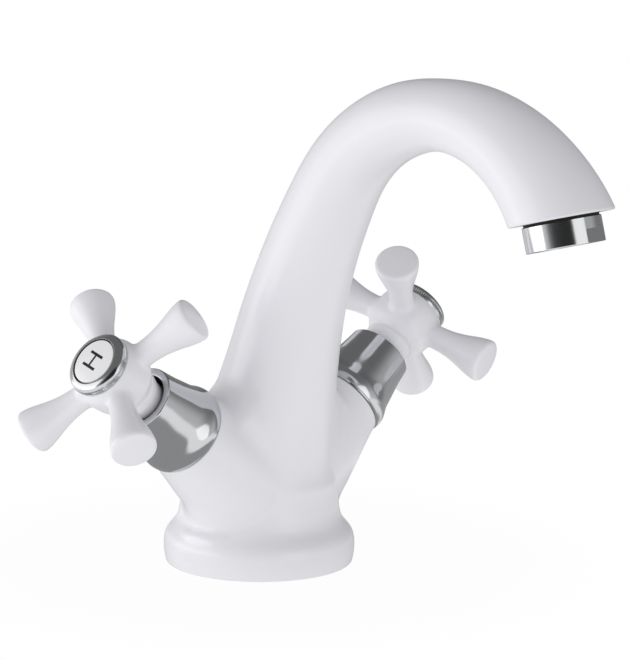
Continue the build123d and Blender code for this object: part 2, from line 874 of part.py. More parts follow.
valve_parts = {
    "bonnet": make_bonnet(),
    "headwork_body": make_headwork_body(),
    "seat_washer": make_seat_washer(),
    "fixed_disc": make_fixed_disc(),
    "bottom_seal": make_bottom_seal(),
    "glide_ring": make_glide_ring(),
    "moving_disc": make_moving_disc(),
    "spindle": make_spindle(),
    "spindle_clip": make_clip(),
    "handle_screw": make_screw(),
    "index_ring": make_index_ring(),
    "index_disc": make_index_disc(),
}
for side_name, side, turn in (("hot", HOT, hot_handle_angle), ("cold", COLD, cold_handle_angle)):
    port = valve_plane(side)
    for name, shape in valve_parts.items():
        write(f"{side_name}_{name}", port * shape)
    write(f"{side_name}_spindle_o_rings", [port * o_ring for o_ring in make_o_rings()])
    write(f"{side_name}_cross_handle", port * make_handle(turn))
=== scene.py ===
"""Two-handle basin mixer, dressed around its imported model."""

import math

import bmesh
import bpy
import numpy as np
from mathutils import Matrix, Vector


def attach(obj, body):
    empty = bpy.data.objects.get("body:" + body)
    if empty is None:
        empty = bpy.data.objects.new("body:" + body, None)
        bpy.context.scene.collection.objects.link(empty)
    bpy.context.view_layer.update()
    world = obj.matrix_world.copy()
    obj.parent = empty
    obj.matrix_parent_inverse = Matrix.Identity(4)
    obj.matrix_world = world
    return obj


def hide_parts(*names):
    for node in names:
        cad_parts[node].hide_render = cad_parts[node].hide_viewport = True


bl_info = {
    "name": "Two-handle basin mixer",
    "version": (1, 0, 0),
    "blender": (4, 5, 0),
    "location": "3D View > Sidebar > Mixer",
    "description": "White enamelled basin mixer with cross handles and chrome trim",
    "category": "Add Mesh",
}

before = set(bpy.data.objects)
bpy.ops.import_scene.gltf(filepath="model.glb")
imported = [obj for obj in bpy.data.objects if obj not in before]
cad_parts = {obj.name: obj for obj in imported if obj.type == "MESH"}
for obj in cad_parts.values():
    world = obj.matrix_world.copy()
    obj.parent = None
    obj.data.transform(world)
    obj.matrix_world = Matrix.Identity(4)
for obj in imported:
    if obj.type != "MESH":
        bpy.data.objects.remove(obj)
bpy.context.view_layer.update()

MM = 0.001
SIDES = {"hot": -1, "cold": 1}


def linear(code):
    """Linear colour of an sRGB hex value."""
    channels = [int(code[start:start + 2], 16) / 255 for start in (0, 2, 4)]
    return [c / 12.92 if c <= 0.04045 else ((c + 0.055) / 1.055) ** 2.4 for c in channels] + [1.0]


def length(name, description, default):
    """A length in metres for the sidebar."""
    return bpy.props.FloatProperty(name=name, description=description, default=default, unit="LENGTH")


def finish_colour(name, description, code):
    """A colour for the sidebar, from its sRGB hex value."""
    return bpy.props.FloatVectorProperty(
        name=name, description=description, subtype="COLOR", size=4, default=linear(code)
    )


class MixerSizes(bpy.types.PropertyGroup):
    """Sizes that a user would change, in metres."""

    body_mesh: length("Body mesh", "Spacing of the body's surface points", 0.00095)
    handle_mesh: length("Handle mesh", "Spacing of a handle's surface points", 0.0005)
    port_blend: length("Port fillet", "Radius of the fillet where a port grows out of the trunk", 0.0115)
    arm_blend: length("Arm fillet", "Radius of the fillet where an arm grows out of the hub", 0.0024)
    knurl_count: bpy.props.IntProperty(
        name="Knurl teeth", description="Teeth round the rear edge of an index ring", default=84
    )
    knurl_depth: length("Knurl depth", "Height of a tooth of the knurl", 0.0003)
    letter_height: length("Letter height", "Height of the letter on an index disc", 0.0064)
    screen_pitch: length("Screen pitch", "Spacing of the wires of the aerator screen", 0.0011)


class MixerColours(bpy.types.PropertyGroup):
    """Colours of the finishes, as linear values of their sRGB hex codes."""

    enamel: finish_colour("Enamel", "Stoved white enamel of the body and handles", "EDEDF1")
    chrome: finish_colour("Chrome", "Polished chrome plate", "D3D5D7")
    porcelain: finish_colour("Porcelain", "Glazed porcelain of the index discs", "F8F8F8")
    marking: finish_colour("Marking", "Fired black of the letters", "1B1A1C")
    backdrop: finish_colour("Backdrop", "Floor and background", "FFFFFF")


# Materials


def add(tree, kind, settings):
    """Add a node; a capital or a number names an input, which takes a value or a socket."""
    node = tree.nodes.new(kind)
    for key, value in settings.items():
        if isinstance(key, str) and key[0].islower():
            setattr(node, key, value)
        elif isinstance(value, bpy.types.NodeSocket):
            tree.links.new(value, node.inputs[key])
        else:
            node.inputs[key].default_value = value
    return node


def maths(tree, operation, first, second=0.0):
    """Result of an operation on two sockets or numbers."""
    return add(tree, "ShaderNodeMath", {"operation": operation, 0: first, 1: second}).outputs[0]


def ramp(tree, value, start, end, low, high):
    """A number that goes softly from low to high while a value goes from start to end."""
    return add(tree, "ShaderNodeMapRange", {
        "interpolation_type": "SMOOTHSTEP", "Value": value,
        "From Min": start, "From Max": end, "To Min": low, "To Max": high,
    }).outputs["Result"]


def reach_along(tree, vector, direction):
    """How far a vector reaches in a direction."""
    settings = {"operation": "DOT_PRODUCT", 0: vector, 1: direction}
    return add(tree, "ShaderNodeVectorMath", settings).outputs["Value"]


def noise(tree, size_mm, detail):
    """Noise on object coordinates whose features are about size_mm across."""
    place = add(tree, "ShaderNodeTexCoord", {})
    return add(tree, "ShaderNodeTexNoise", {
        "Scale": 1 / (size_mm * MM), "Detail": detail, "Roughness": 0.5, "Vector": place.outputs["Object"],
    }).outputs["Fac"]


def tinted(tree, pattern, colour, amount):
    """The colour, darkened a little where the pattern is low."""
    darker = [channel * (1 - amount) for channel in colour[:3]] + [1.0]
    settings = {"data_type": "RGBA", 0: pattern, 6: darker, 7: list(colour)}
    return add(tree, "ShaderNodeMix", settings).outputs[2]


def new_material(name):
    """Empty node material."""
    material = bpy.data.materials.new(name)
    material.use_nodes = True
    material.node_tree.nodes.clear()
    return material, material.node_tree


def make_finish(name, colour, haze, darkening, dullness, relief, settings):
    """Finish whose colour and roughness follow one noise and whose relief follows another.

    haze is (feature size in mm, detail); relief is that and (height in mm, strength), or None.
    """
    material, tree = new_material(name)
    pattern = noise(tree, *haze)
    spread = {"Value": pattern, "To Min": dullness[0], "To Max": dullness[1]}
    inputs = settings | {
        "Base Color": tinted(tree, pattern, colour, darkening),
        "Roughness": add(tree, "ShaderNodeMapRange", spread).outputs["Result"],
    }
    if relief:
        size_mm, detail, height_mm, strength = relief
        inputs["Normal"] = add(tree, "ShaderNodeBump", {
            "Strength": strength, "Distance": height_mm * MM, "Height": noise(tree, size_mm, detail),
        }).outputs["Normal"]
    shader = add(tree, "ShaderNodeBsdfPrincipled", inputs)
    add(tree, "ShaderNodeOutputMaterial", {"Surface": shader.outputs["BSDF"]})


def make_plain(name, code, metallic, dullness, grain_mm, relief_mm, **settings):
    """A finish of one colour with its own grain, for the pieces inside."""
    haze = (grain_mm, 3.0)
    relief = (*haze, relief_mm, 0.6)
    make_finish(name, linear(code), haze, 0.12, dullness, relief, {"Metallic": metallic} | settings)


def finishes():
    """The object's own materials, made once."""
    if "stoved_white_enamel" in bpy.data.materials:
        return bpy.data.materials
    colours = bpy.context.scene.mixer_colours
    # Stoved enamel on brass: a soft white gloss with a faint flow of the coat over the casting
    make_finish(
        "stoved_white_enamel", colours.enamel, (26.0, 2.0), 0.02, (0.28, 0.34), (9.0, 1.0, 0.012, 0.6),
        {"IOR": 1.5, "Coat Weight": 0.2, "Coat Roughness": 0.08},
    )
    # Chrome plate on polished brass: a clear grey mirror with faint waves from the buffing wheel
    make_finish(
        "polished_chrome_plate", colours.chrome, (14.0, 3.0), 0.04, (0.11, 0.17), (7.0, 1.0, 0.01, 0.5),
        {"Metallic": 1.0},
    )
    # Glazed porcelain: a clear glaze over a white body, with a soft unevenness
    make_finish(
        "glazed_porcelain", colours.porcelain, (4.0, 1.0), 0.03, (0.12, 0.2), (4.0, 1.0, 0.01, 0.5),
        {"IOR": 1.52, "Coat Weight": 0.6, "Coat Roughness": 0.03},
    )
    # Fired black transfer: a slightly uneven black, a little less glossy than the glaze around it
    make_finish("fired_black_marking", colours.marking, (0.6, 2.0), 0.3, (0.25, 0.35), None, {"IOR": 1.5})
    # Turned brass, a little tarnished: warm brown yellow, the lathe's fine rings worn to a satin
    make_plain("turned_brass", "B8924F", 1.0, (0.3, 0.42), 0.8, 0.01)
    # Headwork as cast, of tarnished brass: a dull dark brown, partly tarnish and partly painted shade for its
    # place deep inside the bonnet
    make_plain("tarnished_brass", "57452C", 0.8, (0.4, 0.55), 0.8, 0.02)
    # Inside of a bonnet, ring or aerator, unplated and never polished: a dark brown that is painted shade for
    # its hollows and gaps
    make_plain("unplated_inside", "2A2521", 0.3, (0.6, 0.8), 1.2, 0.02)
    # Stainless steel sheet and wire: grey, satin from tumbling
    make_plain("satin_stainless_steel", "B9BBBE", 1.0, (0.25, 0.38), 0.6, 0.01)
    # Alumina, lapped flat: an ivory white with a dull sheen
    make_plain("lapped_alumina", "F0EBE0", 0.0, (0.25, 0.35), 0.3, 0.003, IOR=1.76)
    # Moulded nitrile rubber: black, with a matt skin
    make_plain("moulded_black_rubber", "1E1E1F", 0.0, (0.6, 0.75), 0.5, 0.02, IOR=1.52)
    # Moulded acetal: a milky white, half matt
    make_plain("moulded_white_acetal", "E9E8E2", 0.0, (0.38, 0.5), 0.5, 0.006, IOR=1.48)
    # Pressed fibre: brick red, with paper-like flecks
    make_plain("pressed_red_fibre", "9A4B3A", 0.0, (0.7, 0.85), 0.4, 0.03, IOR=1.5)
    return bpy.data.materials


# Sizes of the shapes, in millimetres and radians

# Body: (height, radius) of the foot and trunk, from a little under the deck
TRUNK = (
    (-8.0, 29.4), (-3.0, 30.0), (0.0, 30.5), (3.0, 31.08), (6.0, 31.2), (8.3, 30.95), (10.3, 30.15),
    (12.0, 28.8), (13.6, 27.5), (15.6, 26.6), (18.8, 26.0), (25.0, 25.5),
)
# Breast: the centre line's place in depth, its height and the radius there
BREAST = (-1.0, 33.5, 24.8)
NECK_FOOT = (-4.1, 44.0)
NECK_LEAN = math.radians(14.8)
NECK_STRAIGHT = 31.2
SWEEP_RADIUS = 206.0
SWEEP_ANGLE = math.radians(16.4)
CROOK_RADIUS = 53.6
CROOK_ANGLE = math.radians(118.0)
SPOUT_LENGTH = NECK_STRAIGHT + SWEEP_RADIUS * SWEEP_ANGLE + CROOK_RADIUS * CROOK_ANGLE
NECK_RADIUS = 16.5
ROOT_FLARE = 4.9
ROOT_FLARE_DECAY = 38.0
CROWN_RADIUS = 11.0
CROWN_DISTANCE = 142.0
OUTLET_RADIUS = 16.0
CROOK_FLARE_POWER = 1.25
SPINE_STEP = 11.5
OUTLET = (0.0, -126.9, 128.0)
OUTLET_TILT = math.radians(15.5)

# Valve port: heights are along the valve's axis from the port's face
PORT_FACE = (35.3, -2.0, 47.9)
PORT_TILT = math.radians(36.5)
PORT_HEIGHTS = (-34.0, -24.0, -12.0, 0.0, 6.0)
PORT_RADII = (20.6, 19.0, 16.6, 14.25, 13.6)
PORT_ROOT_DEPTH = 33.0
FRONT_FADE = 9.0
ROOT_FADE = 8.0
ROUGH_PORT = ((0, -30), (18.0, -30), (14.2, 4), (0, 4))

# Ends of the body: softness of the edge, then (radius, height) of what follows inside it
PORT_EDGE = 0.35
PORT_BORE = ((10.5, 0.0), (10.45, -23.0), (4.2, -23.0), (4.2, -29.0))
OUTLET_EDGE = 0.45
OUTLET_BORE = ((11.8, 0.0), (11.55, 0.3), (11.55, 8.5), (8.6, 8.5), (8.6, 14.5))
FOOT_EDGE = 0.5
UNDERSIDE = ((27.5, 0.0), (27.5, 2.5), (23.9, 2.5), (23.9, 0.0), (21.5, 0.0), (21.5, 5.0), (6.0, 5.0))

# Bonnet: (radius, height) from the foot to the mouth, then inside and back to the foot
BELL = (
    (14.6, 0.85), (14.86, 2.4), (14.7, 4.2), (14.2, 5.6), (13.45, 7.6), (12.95, 9.8), (12.45, 12.5),
    (11.9, 15.5), (11.45, 18.5), (11.12, 21.2), (10.98, 22.3),
)
BELL_MOUTH = ((10.98, 22.3), (10.9, 23.3, 0.45), (8.35, 22.95, 0.25), (8.3, 17.2))
BELL_INSIDE = ((9.05, 17.1), (9.05, 6.9), (12.4, 6.9), (12.4, 0.3))
BELL_FOOT = ((12.4, 0.3), (14.15, 0.3, 0.12), (14.35, 0.75, 0.12), (14.5, 0.8))

# Cross handle
HUB_HEIGHT = 38.2
HUB_FRONT = 44.1
HUB_REAR = 29.6
HUB_EDGE = 0.4
HUB_HEIGHTS = (27.0, 29.6, 31.5, 34.8, 38.2, 41.4, 44.1, 47.0)
HUB_RADII = (7.6, 8.7, 10.1, 11.2, 11.55, 11.4, 10.3, 8.6)
HUB_BORE = (
    (8.45, HUB_FRONT), (8.35, HUB_FRONT - 0.1), (8.35, HUB_HEIGHT), (2.1, HUB_HEIGHT), (2.1, HUB_HEIGHT - 2.6)
)
COLLAR = (
    (8.55, HUB_REAR - 0.1), (8.1, HUB_REAR - 0.3), (7.95, HUB_REAR - 0.45), (8.02, HUB_REAR - 0.6),
    (8.28, HUB_REAR - 0.85), (8.34, HUB_REAR - 1.15), (8.2, HUB_REAR - 1.9), (7.95, 26.4), (7.5, 24.9),
    (7.1, 23.7), (6.92, 22.8), (6.9, 21.1), (6.75, 20.9), (5.8, 20.9), (5.8, 21.6), (4.1, 21.6), (4.1, 35.6),
)
ARM_COUNT = 4
ARM_REACHES = (0.0, 9.0, 13.0, 16.0, 18.5, 21.0, 23.5, 26.0, 28.5, 31.0, 33.0, 36.0)
ARM_RADII = (4.0, 3.95, 3.98, 4.12, 4.38, 4.85, 5.45, 6.15, 6.8, 7.22, 7.3, 7.3)
ARM_END = 33.3
ARM_DOME = 0.45
ARM_DOME_RADIUS = 6.4
ARM_RIM_ROUND = 1.1
ROUGH_HUB = ((0, 27.5), (10.5, 27.5), (10.5, 46.5), (0, 46.5))
ROUGH_ARM = ((0, 1), (4, 1), (4, 18), (7.2, 30), (7.2, 33.6), (0, 33.9))
HANDLE_TURNS = {"hot": 48.0, "cold": 23.0}

# Index ring: heights are from the front of the hub
RING_REAR = (
    (6.6, -4.2), (8.25, -4.2), (8.25, 0.05), (10.05, 0.05, 0.1), (10.12, 0.3), (10.12, 1.5), (10.02, 1.6)
)
RING_DOME = ((10.34, 1.72), (10.36, 2.1), (10.2, 2.62), (9.75, 3.14), (9.1, 3.54), (8.5, 3.78), (8.0, 3.88))
RING_LIP = ((7.82, 3.86, 0.06), (7.78, 2.2), (6.6, 2.2))
KNURL_RADIUS = 10.12
KNURL_WIDTH = 1.2
KNURL_HEIGHT = 0.9

# Index disc and its letter
DISC_RADIUS = 7.45
DISC_BOTTOM = HUB_FRONT + 2.2
DISC_RIM = HUB_FRONT + 3.75
DISC_DOME = 0.4
DISC_RINGS = 14
LETTER_RELIEF = 0.04
LETTER_MESH = 0.5
LETTER_TURNS = {"hot": -14, "cold": -39}
CAPITAL_SHARE = 0.7

# Aerator: heights are along the outlet's axis from its face, and the flats stand a little askew
AERATOR_RADIUS = 12.0
AERATOR_BOTTOM = -8.6
AERATOR_GAP = -0.94
AERATOR_TURN = math.radians(9)
HALF_FLATS = 11.0
FLATS_TOP = -4.4
SCREEN_RADIUS = 9.6
SCREEN_WIRE = 0.14
SCREEN_HEIGHT = AERATOR_BOTTOM + 1.55

# How finely shapes are drawn
CUT_MARGIN = 4.0
CUT_WELD = 0.12
SPINE_COUNT = 900
PROFILE_COUNT = 600
BLOCK = 8000
TUBE_SIDES = 48
TUBE_STRIDE = 9

# Stage, in metres
FLOOR_RADIUS = 0.22
FLOOR_DROP = 0.00005
TABLE_LIGHT = 0.85
CAMERA_PLACE = (-0.77795, -0.79606, 0.2937)
CAMERA_TURN = math.radians(-45.25)
CAMERA_DIP = math.radians(11.05)
CAMERA_ROLL = math.radians(0.54)
FOCUS_PIXELS = 3501.9
IMAGE_HEIGHT = 660
SENSOR_MM = 36.0
LAMP_AIM = (0, -0.04, 0.08)


def disc_rise(radius):
    """Height of an index disc's domed face over its rim."""
    return DISC_DOME * (1 - (radius / DISC_RADIUS) ** 2)


def cubic_curve(at, values, where):
    """Natural cubic spline through values at rising parameters, and its slope."""
    at = np.asarray(at, float)
    values = np.asarray(values, float).reshape(len(at), -1)
    gap = np.diff(at)
    matrix = np.eye(len(at))
    right = np.zeros_like(values)
    for row in range(1, len(at) - 1):
        matrix[row, row - 1:row + 2] = gap[row - 1], 2 * (gap[row - 1] + gap[row]), gap[row]
        right[row] = 6 * (
            (values[row + 1] - values[row]) / gap[row] - (values[row] - values[row - 1]) / gap[row - 1]
        )
    bend = np.linalg.solve(matrix, right)
    cell = np.clip(np.searchsorted(at, where) - 1, 0, len(gap) - 1)
    width = gap[cell][:, None]
    after = (where - at[cell])[:, None]
    before = width - after
    first, second = bend[cell], bend[cell + 1]
    start = values[cell] / width - first * width / 6
    end = values[cell + 1] / width - second * width / 6
    place = (first * before**3 + second * after**3) / (6 * width) + start * before + end * after
    slope = (-first * before**2 + second * after**2) / (2 * width) - start + end
    return place, slope


def smooth_profile(points, steps):
    """Points of a smooth curve through (radius, height) points."""
    points = np.array(points, float)
    at = np.concatenate([[0], np.cumsum(np.linalg.norm(np.diff(points, axis=0), axis=1))])
    return [tuple(point) for point in cubic_curve(at, points, np.linspace(0, at[-1], steps))[0]]


def rounded(corners, steps=5):
    """(radius, height) outline whose third value rounds a corner."""
    outline = []
    for index, (radius, height, *bend) in enumerate(corners):
        here = Vector((radius, height))
        if not bend:
            outline.append((radius, height))
            continue
        back = (Vector(corners[index - 1][:2]) - here).normalized()
        onward = (Vector(corners[index + 1][:2]) - here).normalized()
        half = back.angle(onward) / 2
        reach = bend[0] / math.tan(half)
        centre = here + (back + onward).normalized() * bend[0] / math.sin(half)
        start = (here + back * reach - centre).normalized()
        end = (here + onward * reach - centre).normalized()
        for step in range(steps + 1):
            outline.append(tuple(centre + start.slerp(end, step / steps) * bend[0]))
    return outline


def new_piece(name, mesh, body, material, *nodes, slot=None):
    """Link a mesh in metres as a piece that rides on a body and stands for CAD nodes."""
    piece = bpy.data.objects.new(name, mesh)
    bpy.context.scene.collection.objects.link(piece)
    if material:
        for finish in material.split():
            mesh.materials.append(finishes()[finish])
    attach(piece, body)
    if nodes:
        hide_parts(*nodes)
    return piece


def made_mesh(piece):
    """Plain mesh of a linked object as its modifiers or its text make it; the object goes."""
    bpy.context.view_layer.update()
    mesh = bpy.data.meshes.new_from_object(piece.evaluated_get(bpy.context.evaluated_depsgraph_get()))
    bpy.data.objects.remove(piece)
    return mesh


def finished_mesh(name, shape, sharp, transform=None):
    """Mesh in metres from a bmesh in millimetres, smooth but for its sharp edges."""
    if transform is not None:
        shape.transform(transform)
    bmesh.ops.recalc_face_normals(shape, faces=shape.faces)
    shape.transform(Matrix.Scale(MM, 4))
    mesh = bpy.data.meshes.new(name)
    shape.to_mesh(mesh)
    shape.free()
    mesh.shade_smooth()
    mesh.set_sharp_from_angle(angle=math.radians(sharp))
    return mesh


def even_turns(count):
    """Angles all round."""
    return [2 * math.pi * index / count for index in range(count)]


def turned(outline, turns, reshape=None):
    """Closed solid of revolution from a (radius, height) outline."""
    shape = bmesh.new()
    rings = []
    for radius, height in outline:
        if radius < 1e-6:
            rings.append([shape.verts.new((0, 0, height))] * len(turns))
            continue
        ring = []
        for turn in turns:
            place = (radius * math.cos(turn), radius * math.sin(turn), height)
            ring.append(shape.verts.new(reshape(*place) if reshape else place))
        rings.append(ring)
    pairs = list(zip(rings, rings[1:]))
    if outline[0][0] > 1e-6 and outline[-1][0] > 1e-6:
        pairs.append((rings[-1], rings[0]))
    for lower, upper in pairs:
        for index in range(len(turns)):
            following = (index + 1) % len(turns)
            corners = [lower[index], lower[following], upper[following], upper[index]]
            unique = list(dict.fromkeys(corners))
            if len(unique) > 2:
                shape.faces.new(unique)
    bmesh.ops.remove_doubles(shape, verts=shape.verts, dist=1e-4)
    return shape


def paint_inside_shade(shape):
    """Give the faces that look in towards the Z axis the second finish, whose dark colour is painted shade.
    """
    bmesh.ops.recalc_face_normals(shape, faces=shape.faces)
    for face in shape.faces:
        outward = face.calc_center_median().xy.normalized()
        if face.normal.xy.dot(outward) < -0.5:
            face.material_index = 1
    return shape


def axis_frame(origin, up, across):
    """Matrix from local millimetres, Z along up and X towards across."""
    up = Vector(up).normalized()
    across = Vector(across)
    across = (across - up * across.dot(up)).normalized()
    side = up.cross(across)
    matrix = Matrix((across, side, up)).transposed().to_4x4()
    matrix.translation = origin
    return matrix


def valve_frame(side):
    """Local frame of a valve: Z outward along its axis from the port face, X up the face."""
    up = (side * math.cos(PORT_TILT), 0, math.sin(PORT_TILT))
    across = (-side * math.sin(PORT_TILT), 0, math.cos(PORT_TILT))
    return axis_frame((side * PORT_FACE[0], PORT_FACE[1], PORT_FACE[2]), up, across)


def outlet_frame():
    """Local frame of the outlet: Z back up into the spout, X to the front."""
    up = (0, math.sin(OUTLET_TILT), math.cos(OUTLET_TILT))
    return axis_frame(OUTLET, up, (0, -math.cos(OUTLET_TILT), math.sin(OUTLET_TILT)))


def raised(matrix, height_mm):
    """A frame moved along its own Z axis."""
    return matrix @ Matrix.Translation((0, 0, height_mm))


def spout_point(distance):
    """Forward place, height and radius of the spout, this far along its centre line."""
    straight = min(distance, NECK_STRAIGHT)
    forward = NECK_FOOT[0] - math.sin(NECK_LEAN) * straight
    up = NECK_FOOT[1] + math.cos(NECK_LEAN) * straight
    lean = NECK_LEAN
    left = distance - straight
    sweep = min(left / SWEEP_RADIUS, SWEEP_ANGLE)
    crook = (left - sweep * SWEEP_RADIUS) / CROOK_RADIUS
    for bend, turn in ((SWEEP_RADIUS, sweep), (CROOK_RADIUS, crook)):
        forward += (math.cos(lean + turn) - math.cos(lean)) * bend
        up += (math.sin(lean + turn) - math.sin(lean)) * bend
        lean += turn
    if distance <= CROWN_DISTANCE:
        radius = CROWN_RADIUS + (NECK_RADIUS - CROWN_RADIUS) * (1 - distance / CROWN_DISTANCE)
    else:
        past_crown = (distance - CROWN_DISTANCE) / (SPOUT_LENGTH - CROWN_DISTANCE)
        radius = CROWN_RADIUS + (OUTLET_RADIUS - CROWN_RADIUS) * past_crown**CROOK_FLARE_POWER
    return forward, up, radius + ROOT_FLARE * math.exp(-distance / ROOT_FLARE_DECAY)


def body_spine():
    """Points of the body's centre line with its radius, from under the deck to past the outlet."""
    points = [(0.0, height, radius) for height, radius in TRUNK] + [BREAST]
    steps = round(SPOUT_LENGTH / SPINE_STEP)
    return points + [spout_point(SPOUT_LENGTH * step / steps) for step in range(steps + 2)]


class Spine:
    """Round tube of changing radius along a smooth line in the middle plane."""

    def __init__(self, points):
        points = np.array(points, float)
        at = np.concatenate([[0], np.cumsum(np.linalg.norm(np.diff(points[:, :2], axis=0), axis=1))])
        place, slope = cubic_curve(at, points, np.linspace(0, at[-1], SPINE_COUNT))
        speed = np.linalg.norm(slope[:, :2], axis=1)
        self.centre = place[:, :2]
        self.radius = place[:, 2]
        self.along = slope[:, :2] / speed[:, None]
        self.taper = slope[:, 2] / speed

    def distance(self, points):
        """Signed distance from the tube's wall, and the way out of it."""
        value = np.empty(len(points))
        outward = np.empty((len(points), 3))
        for start in range(0, len(points), BLOCK):
            block = slice(start, start + BLOCK)
            part = points[block]
            offset = part[:, None, 1:] - self.centre[None]
            nearest = (offset**2).sum(2).argmin(1)
            along = self.along[nearest]
            offset = offset[np.arange(len(part)), nearest]
            slide = (offset * along).sum(1)
            across = offset - slide[:, None] * along
            centre_distance = np.sqrt(part[:, 0] ** 2 + (across**2).sum(1))
            taper = self.taper[nearest]
            steep = np.sqrt(1 + taper**2)
            value[block] = (centre_distance - self.radius[nearest] - taper * slide) / steep
            away = np.column_stack([part[:, 0], across]) / np.maximum(centre_distance, 1e-6)[:, None]
            lean = np.column_stack([np.zeros(len(part)), along]) * taper[:, None]
            outward[block] = (away - lean) / steep[:, None]
        return value, outward

    def shell(self):
        """Rough closed tube."""
        shape = bmesh.new()
        rings = []
        for index in range(0, len(self.radius), TUBE_STRIDE):
            (forward, up), radius, along = self.centre[index], self.radius[index], self.along[index]
            ring = []
            for turn in even_turns(TUBE_SIDES):
                out = radius * math.sin(turn)
                place = (radius * math.cos(turn), forward + out * along[1], up - out * along[0])
                ring.append(shape.verts.new(place))
            rings.append(ring)
        for lower, upper in zip(rings, rings[1:]):
            for step in range(TUBE_SIDES):
                following = (step + 1) % TUBE_SIDES
                shape.faces.new((lower[step], lower[following], upper[following], upper[step]))
        shape.faces.new(rings[0])
        shape.faces.new(rings[-1])
        return shape


class Turning:
    """Solid of revolution about the Z axis of a local frame, by its radius at each height."""

    def __init__(self, matrix, heights, radii):
        self.inverse = np.array(matrix.inverted())
        self.turn = np.array(matrix)[:3, :3]
        self.heights = np.linspace(heights[0], heights[-1], PROFILE_COUNT)
        radius, slope = cubic_curve(heights, radii, self.heights)
        self.radius, self.slope = radius[:, 0], slope[:, 0]

    def local(self, points):
        """Points in the local frame."""
        return points @ self.inverse[:3, :3].T + self.inverse[:3, 3]

    def distance(self, points):
        """Signed distance from the wall, and the way out of it."""
        local = self.local(points)
        height = local[:, 2]
        reach = np.hypot(local[:, 0], local[:, 1])
        radius = np.interp(height, self.heights, self.radius)
        slope = np.interp(height, self.heights, self.slope)
        steep = np.sqrt(1 + slope**2)
        outward = np.column_stack([local[:, :2] / np.maximum(reach, 1e-6)[:, None], -slope]) / steep[:, None]
        return (reach - radius) / steep, outward @ self.turn.T

    def closed_below(self, solid, root):
        """A solid along this axis, cut off flat where its distance past the root is more than its own."""
        value, outward = solid
        behind = root > value
        return np.where(behind, root, value), np.where(behind[:, None], -self.turn[:, 2][None], outward)


def merge(first, second, radius):
    """Union of two signed distances with their ways out, filleted to a radius where they meet."""
    value, outward = first
    other, other_outward = second
    between = np.clip((outward * other_outward).sum(1), -1, 1)
    width = np.maximum(4 * radius * (1 - np.sqrt((1 + between) / 2)), 1e-3)
    share = np.clip(0.5 + 0.5 * (other - value) / width, 0, 1)
    union = share * value + (1 - share) * other - width * share * (1 - share)
    mixed = share[:, None] * outward + (1 - share)[:, None] * other_outward
    return union, mixed / np.linalg.norm(mixed, axis=1)[:, None]


def settle(mesh, distance, rounds=9):
    """Draw a rough closed mesh onto a smooth surface and even out its points."""
    count = len(mesh.vertices)
    points = np.empty(count * 3)
    mesh.vertices.foreach_get("co", points)
    points = points.reshape(-1, 3)
    edges = np.empty(len(mesh.edges) * 2, int)
    mesh.edges.foreach_get("vertices", edges)
    starts, ends = edges.reshape(-1, 2).T
    neighbours = np.bincount(edges, minlength=count)
    for turn in range(rounds):
        if turn:
            middle = np.column_stack([
                np.bincount(starts, there, count) + np.bincount(ends, here, count)
                for here, there in zip(points[starts].T, points[ends].T)
            ]) / neighbours[:, None]
            points += 0.5 * (middle - points)
        for _ in range(1 if turn < rounds - 1 else 3):
            value, outward = distance(points)
            points -= value[:, None] * outward
    mesh.vertices.foreach_set("co", points.ravel())
    shape = bmesh.new()
    shape.from_mesh(mesh)
    bpy.data.meshes.remove(mesh)
    return shape


def join(whole, part, matrix):
    """Move a part into its place and add it to a whole."""
    part.transform(matrix)
    mesh = bpy.data.meshes.new("part")
    part.to_mesh(mesh)
    part.free()
    whole.from_mesh(mesh)
    bpy.data.meshes.remove(mesh)


def remeshed(shape, spacing):
    """One closed skin round overlapping closed shells, with even square faces."""
    bmesh.ops.recalc_face_normals(shape, faces=shape.faces)
    mesh = bpy.data.meshes.new("rough_shell")
    shape.to_mesh(mesh)
    shape.free()
    piece = bpy.data.objects.new("rough_shell", mesh)
    bpy.context.scene.collection.objects.link(piece)
    modifier = piece.modifiers.new("skin", "REMESH")
    modifier.mode = "VOXEL"
    modifier.voxel_size = spacing
    skin = made_mesh(piece)
    bpy.data.meshes.remove(mesh)
    return skin


